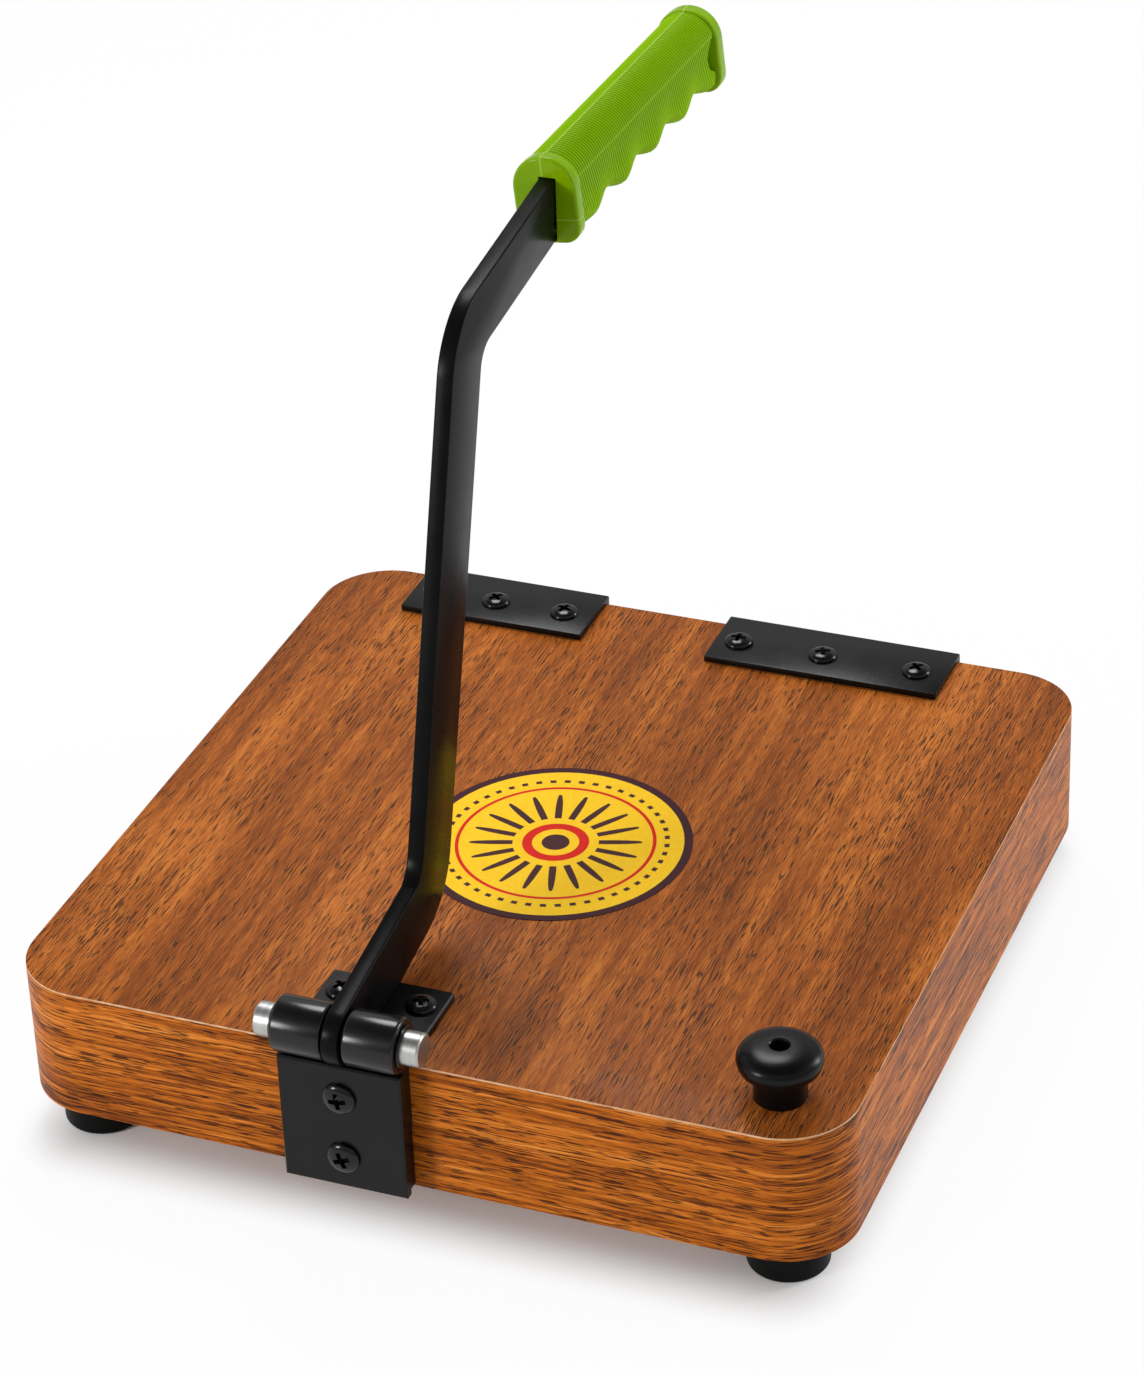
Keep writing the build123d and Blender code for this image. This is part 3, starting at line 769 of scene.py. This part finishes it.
def screws(name, node, length, seats, material, body, **sizes):
    """All the screws of one node: seats are (place, turn of the head, spin of its cross)."""
    solids = []
    for place, turn, spin in seats:
        matrix = Matrix.Translation(place) @ turn @ Matrix.Rotation(spin, 4, "Z")
        solids.append(move(screw(length, **sizes), matrix))
    piece(name, join(*solids), body, "black_screw", material, replaces=node, smooth=40)


def tube(outer, inner, low, high, edge, matrix=AT_PIVOT, steps=72, edge_steps=4):
    """Tube with rounded rims, along X about the pivot or about a hinge."""
    corners = ((inner, low), (outer, low, edge), (outer, high, edge), (inner, high))
    profile = rounded_path(corners, edge_steps)
    profile.append(profile[0])
    return move(turned(profile, steps), matrix)


def step_from(point, length, slope):
    """Point a length further on at a slope in degrees."""
    return Vector(point) + length * Vector((cos(radians(slope)), sin(radians(slope))))


def crossing(p, a, q, b):
    """Where the lines through p and q at slopes a and b meet."""
    first = step_from((0, 0), 1, a)
    second = step_from((0, 0), 1, b)
    along = (q - p).cross(second) / first.cross(second)
    return p + along * first


BAR_START = step_from((PIVOT.y, PIVOT.z), EYE_RADIUS - BAR_WIDTH / 2, LOWER_SLOPE + 90)
LOWER_CORNER = step_from(BAR_START, LOWER_LENGTH, LOWER_SLOPE)
UPPER_CORNER = step_from(LOWER_CORNER, MIDDLE_LENGTH, MIDDLE_SLOPE)
GRIP_START = step_from(UPPER_CORNER, UPPER_LENGTH, UPPER_SLOPE)
TANG_PLACE = Matrix.Translation((BRACKET_X, GRIP_START.x, GRIP_START.y)) @ Matrix.Rotation(
    radians(GRIP_SLOPE), 4, "X"
)
GRIP_PLACE = TANG_PLACE @ Matrix.Translation((GRIP_SHIFT, 0, 0)) @ Matrix.Rotation(
    radians(GRIP_LEAN), 4, "Y"
)


def bar_side(side, extra=0.0):
    """Start, two corners and end of one edge of the bar."""
    half = side * (BAR_WIDTH / 2 + extra)
    upper_half = side * (BAR_UPPER_WIDTH / 2 + extra)
    lower = step_from(BAR_START, half, LOWER_SLOPE + 90)
    middle = step_from(LOWER_CORNER, half, MIDDLE_SLOPE + 90)
    upper = step_from(UPPER_CORNER, upper_half, UPPER_SLOPE + 90)
    end = step_from(UPPER_CORNER, UPPER_LENGTH + SHOULDER + extra, UPPER_SLOPE)
    return [
        lower,
        crossing(lower, LOWER_SLOPE, middle, MIDDLE_SLOPE),
        crossing(middle, MIDDLE_SLOPE, upper, UPPER_SLOPE),
        step_from(end, upper_half, UPPER_SLOPE + 90),
    ]


def lever_bar():
    """Cranked bar with its eye, its flat heel and its tang."""
    front = bar_side(1)
    back = bar_side(-1)
    heel_back = crossing(back[0], LOWER_SLOPE, Vector((0, HEEL_Z)), 0)
    drop = HEEL_Z - PIVOT.z
    heel_front = atan2(drop, (EYE_RADIUS**2 - drop**2) ** 0.5)
    corners = [
        (*front[1], LOWER_BEND[0]), (*front[2], UPPER_BEND[0]), front[3], back[3],
        (*back[2], UPPER_BEND[1]), (*back[1], LOWER_BEND[1]), (*heel_back, HEEL_BEND),
        (PIVOT.y + HEEL_REACH, HEEL_Z),
    ]
    outline = rounded_path(corners, steps=18)
    eye_steps = 36
    eye_end = radians(LOWER_SLOPE + 90) - 2 * pi
    for step in range(eye_steps + 1):
        angle = heel_front + (eye_end - heel_front) * step / eye_steps
        outline.append((PIVOT.y + EYE_RADIUS * cos(angle), PIVOT.z + EYE_RADIUS * sin(angle)))
    half = BAR_THICKNESS / 2
    bar = prism("x", outline, BRACKET_X - half, BRACKET_X + half, BAR_EDGE, 3)
    tang_side = rectangle(0, TANG_LENGTH, -TANG_WIDTH / 2, TANG_WIDTH / 2)
    tang = prism("x", tang_side, -half, half, TANG_EDGE)
    return join(bar, move(tang, TANG_PLACE))


def section(half, belly, radius, taper=0.0):
    """Right half of the grip's cross-section, from its top to its bottom, as (x, up) points."""
    top_steps, side_steps, round_steps = 16, 12, 8
    low = belly + radius
    flat = half - taper - radius
    points = []
    for step in range(top_steps + 1):
        angle = pi / 2 * (1 - step / top_steps)
        points.append(Vector((half * cos(angle), CROWN + half * sin(angle))))
    for step in range(1, side_steps + 1):
        share = step / side_steps
        points.append(Vector((half - taper * share, CROWN + (low - CROWN) * share)))
    for step in range(1, round_steps + 1):
        angle = -pi / 2 * step / round_steps
        points.append(Vector((flat + radius * cos(angle), low + radius * sin(angle))))
    for share in (0.6, 0.3, 0.0):
        points.append(Vector((flat * share, belly)))
    return points


def belly_at(place):
    """Height of the grip's underside: crests under the fingers' gaps, grooves for the fingers."""
    last = FIRST_BUMP + (BUMPS - 1) * BUMP_PITCH
    if place < FIRST_BUMP:
        return BELLY + NEAR_HOLLOW * (0.5 + 0.5 * cos(pi * place / FIRST_BUMP))
    if place > last:
        return BELLY
    wave = 0.5 - 0.5 * cos(2 * pi * (place - FIRST_BUMP) / BUMP_PITCH)
    return BELLY + GROOVE_DEPTH * wave**GROOVE_CURVE


def loft(rings):
    """Closed skin through rings of points, with flat ends."""
    bm = bmesh.new()
    verts = [[bm.verts.new(point) for point in ring] for ring in rings]
    edges = [[bm.edges.new(pair) for pair in zip(ring, ring[1:] + ring[:1])] for ring in verts]
    for first, second in zip(edges, edges[1:]):
        bmesh.ops.bridge_loops(bm, edges=first + second)
    bm.faces.new(verts[0])
    bm.faces.new(verts[-1])
    bmesh.ops.recalc_face_normals(bm, faces=bm.faces)
    return bm


def whole_ring(half_points, place):
    """Ring at a place along the grip from the right half of its section."""
    right = [(point.x, place, point.y) for point in half_points]
    left = [(-point.x, place, point.y) for point in reversed(half_points[1:-1])]
    return right + left


def recess_depth(place, height):
    """How far the side is let in beside the far collar."""
    reach = RECESS_REACH * (1 - ((height - RECESS_MIDDLE) / RECESS_HALF_HEIGHT) ** 2)
    inside = place - (GRIP_LENGTH - FAR_COLLAR - reach)
    if reach <= 0 or inside <= 0:
        return 0.0
    return RECESS_DEPTH * min(1.0, inside / RECESS_RUN)


def grip_sleeve():
    """Ribbed sleeve: fine ribs round it, drawn in below a crease along each side."""
    rings = []
    start = NEAR_COLLAR - SLEEVE_LAP
    end = GRIP_LENGTH - FAR_COLLAR + SLEEVE_LAP
    count = int((end - start) / RIB_PITCH * STEPS_PER_RIB)
    for number in range(count + 1):
        place = start + (end - start) * number / count
        belly = belly_at(place)
        groove = (belly - BELLY) / GROOVE_DEPTH
        points = section(GRIP_HALF, belly, BELLY_RADIUS + GROOVE_ROUNDING * groove,
                         SIDE_TAPER + GROOVE_TAPER * groove)
        middle = Vector((0, (CROWN + belly) / 2))
        shaped = []
        for index, point in enumerate(points):
            below = max(0.0, CREASE - point.y)
            phase = 2 * pi * (place - RIB_SLANT * below) / RIB_PITCH
            sink = RIB_DEPTH * (0.5 - 0.5 * cos(phase))
            sink += CREASE_DEPTH * min(1.0, below / CREASE_RUN)
            if index == 0:
                sink = -TOP_RIDGE
            if point.x > RECESS_SIDE:
                sink += recess_depth(place, point.y)
            shaped.append(point - (point - middle).normalized() * sink)
        rings.append(whole_ring(shaped, place))
    return move(loft(rings), GRIP_PLACE)


def grip_collar(start, thickness, flare):
    """Smooth collar at one end of the grip, its rims rounded."""
    rims = []
    rim_steps = 6
    for step in range(rim_steps + 1):
        angle = pi / 2 * step / rim_steps
        rims.append((start + COLLAR_EDGE * (1 - cos(angle)), COLLAR_EDGE * (1 - sin(angle))))
    rims += [(2 * start + thickness - place, drop) for place, drop in reversed(rims)]
    rings = []
    for place, drop in rims:
        size = flare - drop
        points = section(GRIP_HALF + size, BELLY - size, BELLY_RADIUS + size)
        rings.append(whole_ring(points, place))
    return move(loft(rings), GRIP_PLACE)


def slot_cutter():
    """Space that the bar takes in the grip, a little larger all round."""
    front = bar_side(1, SLOT_CLEARANCE)
    back = bar_side(-1, SLOT_CLEARANCE)
    outline = [front[2], front[3], back[3], back[2]]
    half = BAR_THICKNESS / 2 + SLOT_CLEARANCE
    return prism("x", outline, BRACKET_X - half, BRACKET_X + half)


def knob_body():
    """Turned knob: stem, cap with a crease under its soft top, and a screw hole with a thin lip."""
    crown = []
    crown_steps = 20
    for step in range(1, crown_steps):
        angle = pi / 2 * step / crown_steps
        radius = KNOB_LIP + (CAP_RADIUS - KNOB_LIP) * cos(angle) ** CAP_CURVE
        crown.append((radius, CAP_WIDEST + (CAP_TOP - CAP_WIDEST) * sin(angle) ** CAP_CURVE))
    profile = rounded_path((
        (KNOB_BORE, 0.0), (STEM_RADIUS, 0.0, 0.3), (STEM_RADIUS, STEM_HEIGHT, 0.4),
        (CAP_RADIUS - 0.7, STEM_HEIGHT, 1.0), (CAP_RADIUS - 0.15, CAP_WIDEST - 0.9, 0.5),
        (CAP_RADIUS, CAP_WIDEST - 0.3, 0.2), *crown, (KNOB_LIP, CAP_TOP, 0.15),
        (KNOB_HOLE, CAP_TOP - 0.4, 0.1), (KNOB_HOLE, KNOB_SEAT), (KNOB_BORE, KNOB_SEAT),
    ))
    profile.append(profile[0])
    return move(turned(profile, 72), Matrix.Translation(KNOB))


def foot_body(x, y):
    """Rubber foot with a rounded lower rim and a screw recess."""
    profile = rounded_path((
        (FOOT_BORE, BASE_BOTTOM), (FOOT_RADIUS, BASE_BOTTOM, 0.3), (FOOT_RADIUS, TABLE, 1.6),
        (FOOT_RECESS_RADIUS, TABLE, 0.4), (FOOT_RECESS_RADIUS, TABLE + FOOT_RECESS_DEPTH),
        (FOOT_BORE, TABLE + FOOT_RECESS_DEPTH),
    ), steps=6)
    profile.append(profile[0])
    return move(turned(profile, 64), Matrix.Translation((x, y, 0)))


def hinge_leaf(start, length, on_lid):
    """Leaf of a back hinge and its knuckles: the lid's folds over the back edge, the base's is flat."""
    end = start + length
    joint = length * KNUCKLE_SHARE
    gap = KNUCKLE_GAP / 2
    back = BOARD + LEAF
    clear = KNUCKLE_RADIUS + KNUCKLE_GAP
    if on_lid:
        spans = ((start, start + joint - gap), (end - joint + gap, end))
        low, high = SEAM, SEAM + clear
        outline = rounded_path((
            (BOARD - LEAF_DEPTH, 0), (BOARD, 0), (BOARD, high), (back, high),
            (back, LEAF, LEAF_BEND), (BOARD - LEAF_DEPTH, LEAF),
        ), steps=5)
    else:
        spans = ((start + joint + gap, end - joint - gap),)
        low, high = SEAM - clear, SEAM
        outline = rectangle(BOARD, back, low - BASE_LEAF_HEIGHT, low)
    parts = [prism("x", outline, start, end, LEAF_EDGE)]
    for low_x, high_x in spans:
        parts.append(prism("x", rectangle(BOARD, back, low, high), low_x, high_x))
        parts.append(tube(KNUCKLE_RADIUS, HINGE_PIN_RADIUS + PIN_CLEARANCE, low_x, high_x, RIM,
                          matrix=AT_HINGE, steps=40, edge_steps=3))
    return join(*parts)


def hinge_pin(start, length):
    """Pin of a back hinge, its ends just rounded."""
    profile = rounded_path((
        (0, start), (HINGE_PIN_RADIUS, start, RIM), (HINGE_PIN_RADIUS, start + length, RIM),
        (0, start + length),
    ), steps=3)
    return move(turned(profile, 32), AT_HINGE)


def build_boards():
    """Skins, bands, cores and pressing faces of the two boards."""
    top = wood_laminate()
    band = wood_band()
    melamine = pressing_laminate()
    core = fibre_board()
    piece("lid_skin", board_skin(-LAMINATE, 0), "lid", "wood_laminate", top, laminate_edge(),
          replaces="lid_top_laminate")
    piece("base_skin", board_skin(BASE_BOTTOM, BASE_BOTTOM + LAMINATE), "base", "wood_laminate",
          top, band, replaces="base_bottom_laminate")
    piece("lid_band", board_band(LID_BOTTOM, -LAMINATE), "lid", "wood_edge_band", band,
          replaces="lid_edge_band")
    piece("base_band", board_band(BASE_BOTTOM + LAMINATE, BASE_TOP), "base", "wood_edge_band", band,
          replaces="base_edge_band")
    for name in ("lid_core", "base_core"):
        dress(name, core)
    for name in ("lid_pressing_laminate", "base_pressing_laminate"):
        dress(name, melamine)


def build_feet(oxide):
    """Four rubber feet under the base, and their screws."""
    rubber = foot_rubber()
    seats = []
    for row, y in (("front", FOOT_INSET_Y), ("rear", BOARD - FOOT_INSET_Y)):
        for side, sign in (("left", -1), ("right", 1)):
            x = sign * (BOARD / 2 - FOOT_INSET_X)
            piece(f"rubber_foot_{row}_{side}", foot_body(x, y), "base", "rubber_foot", rubber,
                  replaces=f"foot_{row}_{side}")
            place = (x, y, TABLE + FOOT_RECESS_DEPTH)
            seats.append((place, Matrix.Rotation(pi, 4, "X"), 0.4 * len(seats)))
    screws("foot_cross_screws", "foot_screws", FOOT_SCREW_LENGTH, seats, oxide, "base")


def build_hinges(coat, oxide, steel):
    """Two back hinges: leaves, pins and screws."""
    lid_seats = []
    base_seats = []
    facing_back = Matrix.Rotation(-pi / 2, 4, "X")
    before, after, shift = LEAF_SCREWS
    for side, (start, length) in HINGES.items():
        piece(f"{side}_upper_leaf", hinge_leaf(start, length, True), "lid", "powder_coated_steel",
              coat, replaces=f"{side}_hinge_lid_leaf")
        piece(f"{side}_lower_leaf", hinge_leaf(start, length, False), "base",
              "powder_coated_steel", coat, replaces=f"{side}_hinge_base_leaf")
        piece(f"{side}_knuckle_pin", hinge_pin(start, length), "base", "bright_steel", steel,
              replaces=f"{side}_hinge_pin")
        first = start + before
        last = start + length - after
        for x in (first, (first + last) / 2 + shift, last):
            spin = 0.5 + 0.37 * len(lid_seats)
            lid_seats.append(((x, BOARD - LEAF_SCREW_INSET, LEAF), Matrix.Identity(4), spin))
            base_seats.append(((x, BOARD + LEAF, SEAM - LEAF_SCREW_DROP), facing_back, spin))
    screws("upper_leaf_screws", "hinge_lid_screws", LEAF_SCREW_LENGTH, lid_seats, oxide, "lid")
    screws("lower_leaf_screws", "hinge_base_screws", LEAF_SCREW_LENGTH, base_seats, oxide, "base")


def build_bracket(coat, oxide, steel):
    """Front bracket: barrels, pin, rings, washers, plates and screws."""
    bright_coat = powder_coat("black_powder_coat_satin", 0.37, (0.2, 0.25))
    half = BRACKET_WIDTH / 2
    for side, sign in (("left", -1), ("right", 1)):
        outer = BRACKET_X + sign * half
        inner = outer - sign * BARREL_LENGTH
        barrel = tube(BARREL_RADIUS, PIN_RADIUS + PIN_CLEARANCE, min(inner, outer),
                      max(inner, outer), BARREL_RIM)
        piece(f"{side}_pivot_barrel", barrel, "lid", "powder_coated_steel", bright_coat,
              replaces=f"{side}_barrel")
    low = BRACKET_X - half - PIN_PROUD
    high = BRACKET_X + half + PIN_PROUD
    profile = rounded_path((
        (0, low), (PIN_RADIUS - PIN_CHAMFER, low, RIM), (PIN_RADIUS, low + PIN_CHAMFER, RIM),
        (PIN_RADIUS, high - PIN_CHAMFER, RIM), (PIN_RADIUS - PIN_CHAMFER, high, RIM), (0, high),
    ), steps=4)
    pin = move(turned(profile, 72), AT_PIVOT)
    piece("bright_pin", pin, "lid", "bright_steel", steel, replaces="pivot_pin")
    for name, node, outer, inner, offset, thickness, edge in (
        ("snap_rings", "pin_clips", CLIP_RADIUS, CLIP_BORE, half + CLIP_OFFSET, CLIP_THICKNESS, RIM),
        ("pivot_washers", "lever_washers", WASHER_RADIUS, PIN_RADIUS + PIN_CLEARANCE,
         BAR_THICKNESS / 2 + WASHER_OFFSET, WASHER_THICKNESS, 0.1),
    ):
        rings = []
        for sign in (-1, 1):
            middle = BRACKET_X + sign * offset
            rings.append(tube(outer, inner, middle - thickness / 2, middle + thickness / 2, edge))
        piece(name, join(*rings), "lid", "black_screw", oxide, replaces=node)
    for name in ("bracket_top_plate", "front_plate", "spacer_block"):
        dress(name, coat)
    facing_front = Matrix.Rotation(pi / 2, 4, "X")
    for side, sign, length, spin in (
        ("upper", 1, UPPER_SCREW_LENGTH, 0.15), ("lower", -1, LOWER_SCREW_LENGTH, 0.4),
    ):
        height = FRONT_SCREW_MIDDLE + sign * FRONT_SCREW_SPACING / 2
        seats = [((BRACKET_X, FRONT_PLATE_Y, height), facing_front, spin)]
        screws(f"{side}_plate_screw", f"front_{side}_screw", length, seats, oxide, "lid",
               head=FRONT_HEAD_RADIUS)
    seats = [
        ((BRACKET_X + sign * TOP_SCREW_SPACING / 2, TOP_SCREW_Y, PLATE_TOP), Matrix.Identity(4), spin)
        for sign, spin in ((-1, 0.9), (1, 0.35))
    ]
    screws("bracket_screws", "top_plate_screws", TOP_SCREW_LENGTH, seats, oxide, "lid")


def build_lever():
    """Cranked bar and its grip."""
    coat = powder_coat("black_powder_coat_matt", 0.06)
    piece("cranked_bar", lever_bar(), "lever", "powder_coated_steel", coat, replaces="lever_bar")
    ribbed = soft_vinyl("soft_vinyl_ribbed", True, 0.42, 0.5)
    smooth = soft_vinyl("soft_vinyl_smooth", False, 0.1, 0.15)
    piece("grip_sleeve", grip_sleeve(), "lever", "green_vinyl", ribbed, replaces="lever_grip",
          smooth=60)
    near_flare, far_flare = COLLAR_FLARE
    near = carve(grip_collar(0, NEAR_COLLAR, near_flare), slot_cutter())
    piece("grip_near_collar", near, "lever", "green_vinyl", smooth, replaces="lever_grip")
    far = grip_collar(GRIP_LENGTH - FAR_COLLAR, FAR_COLLAR, far_flare)
    piece("grip_far_collar", far, "lever", "green_vinyl", smooth, replaces="lever_grip")


def build_knob_and_label(oxide):
    """Knob with its screw, and the round label."""
    piece("turned_knob", knob_body(), "lid", "black_plastic", knob_phenolic(), replaces="knob")
    seat = [((KNOB.x, KNOB.y, KNOB_SEAT), Matrix.Identity(4), 0.6)]
    screws("knob_cross_screw", "knob_screw", KNOB_SCREW_LENGTH, seat, oxide, "lid",
           head=KNOB_HOLE - 0.15, height=KNOB_HEAD_HEIGHT, shank=KNOB_BORE)
    dress("round_label", printed_label())


# Stage and light: metres

FLOOR_HALF = 20.0
# Half sizes of a box round the board's middle, beyond which the floor glows white to the camera:
# painted light that fades out the outer part of the press's shadow
GLOW_START = (0.106, 0.117, 1.0)
GLOW_REACH = 0.027
GLOW_SHARE = 0.95
# Each lamp: name, place, size, and power in watts
LAMPS = (
    ("top", (-0.25, 0.5, 1.02), (0.4, 0.4), 6.5),
    ("front_left", (-0.9, -1.3, 0.55), (0.36, 0.36), 11.5),
    ("right", (1.2, 0.9, 0.5), (0.4, 0.7), 10.0),
)
LAMP_TARGET = Vector((0, 0, 0.05))


def build_stage():
    """Large pale floor that keeps the press's shadow near it; further away it glows white, painted
    light that fades the shadow out.
    """
    bm = bmesh.new()
    bmesh.ops.create_grid(bm, x_segments=1, y_segments=1, size=FLOOR_HALF)
    floor = as_object(bm, "floor")
    material, tree = new_material("pale_floor")
    surface(material, Base_Color="#FCFCFC", Roughness=0.9, Specular_IOR_Level=0.0)
    middle = TO_FRAME @ Vector((0, BOARD / 2, 0))
    away = add(tree, "VectorMath", object_point(tree, shift=-middle), operation="ABSOLUTE")
    beyond = add(tree, "VectorMath", away, GLOW_START, operation="SUBTRACT")
    beyond = add(tree, "VectorMath", beyond, (0, 0, 0), operation="MAXIMUM")
    distance = add(tree, "VectorMath", beyond, operation="LENGTH")
    distance = add(tree, "Math", distance, GLOW_REACH, operation="DIVIDE")
    fade = add(tree, "ValToRGB", distance, stops=((0.0, 0.0), (1.0, GLOW_SHARE)))
    fade.color_ramp.interpolation = "EASE"
    path = add(tree, "LightPath").outputs
    seen = add(tree, "Math", path["Is Camera Ray"], path["Is Glossy Ray"], operation="MAXIMUM")
    seen = add(tree, "Math", seen, path["Is Transmission Ray"], operation="MAXIMUM")
    share = add(tree, "Math", seen, fade, operation="MULTIPLY")
    # The glow is painted light: away from the board it lifts the floor to white and wipes out the
    # shadow there.
    glow = add(tree, "Emission", Strength=1.0)
    white = add(tree, "MixShader", share, tree.nodes["Principled BSDF"], glow)
    plug(tree.nodes["Material Output"].inputs["Surface"], white)
    floor.data.materials.append(material)


def build_light():
    """White surround that darkens overhead, and three large soft lamps."""
    world = bpy.data.worlds.new("studio")
    bpy.context.scene.world = world
    world.use_nodes = True
    tree = world.node_tree
    tree.nodes.clear()
    rise = add(tree, "SeparateXYZ", add(tree, "TexCoord").outputs["Generated"]).outputs["Z"]
    strength = add(tree, "ValToRGB", rise, stops=((0.3, 0.4), (0.5, 0.9), (0.65, 0.45), (0.9, 0.12)))
    add(tree, "OutputWorld", add(tree, "Background", "#FFFFFF", strength))
    for name, place, size, power in LAMPS:
        lamp = bpy.data.lights.new(name, "AREA")
        lamp.shape = "RECTANGLE"
        lamp.size, lamp.size_y = size
        lamp.energy = power
        holder = bpy.data.objects.new(name, lamp)
        holder.location = place
        aim = LAMP_TARGET - Vector(place)
        holder.rotation_euler = aim.to_track_quat("-Z", "Y").to_euler()
        bpy.context.scene.collection.objects.link(holder)


# The photo's camera, found from the board's edges: angles in degrees, place in board millimetres
CAMERA_TURN = 22.49
CAMERA_TILT = 31.53
CAMERA_ROLL = -2.43
CAMERA_PLACE = Vector((424.9, -891.3, 725.7))
FOCAL_PIXELS = 4367.0
PHOTO_HEIGHT = 1375.0
SENSOR = 36.0


def build_camera():
    """Camera with the photo's angle and perspective."""
    camera = bpy.data.cameras.new("camera")
    camera.sensor_width = SENSOR
    camera.sensor_height = SENSOR
    camera.lens = SENSOR * FOCAL_PIXELS / PHOTO_HEIGHT
    holder = bpy.data.objects.new("camera", camera)
    aim = Matrix.Identity(4)
    for angle, axis in ((CAMERA_TURN, "Z"), (90 - CAMERA_TILT, "X"), (CAMERA_ROLL, "Z")):
        aim = aim @ Matrix.Rotation(radians(angle), 4, axis)
    holder.matrix_world = Matrix.Translation(TO_FRAME @ CAMERA_PLACE) @ aim
    bpy.context.scene.collection.objects.link(holder)
    bpy.context.scene.camera = holder


coat = powder_coat("black_powder_coat", 0.2)
oxide = black_oxide()
steel = turned_steel()
build_boards()
build_feet(oxide)
build_hinges(coat, oxide, steel)
build_bracket(coat, oxide, steel)
build_lever()
build_knob_and_label(oxide)
build_stage()
build_light()
build_camera()
bpy.context.scene.view_settings.view_transform = "Standard"
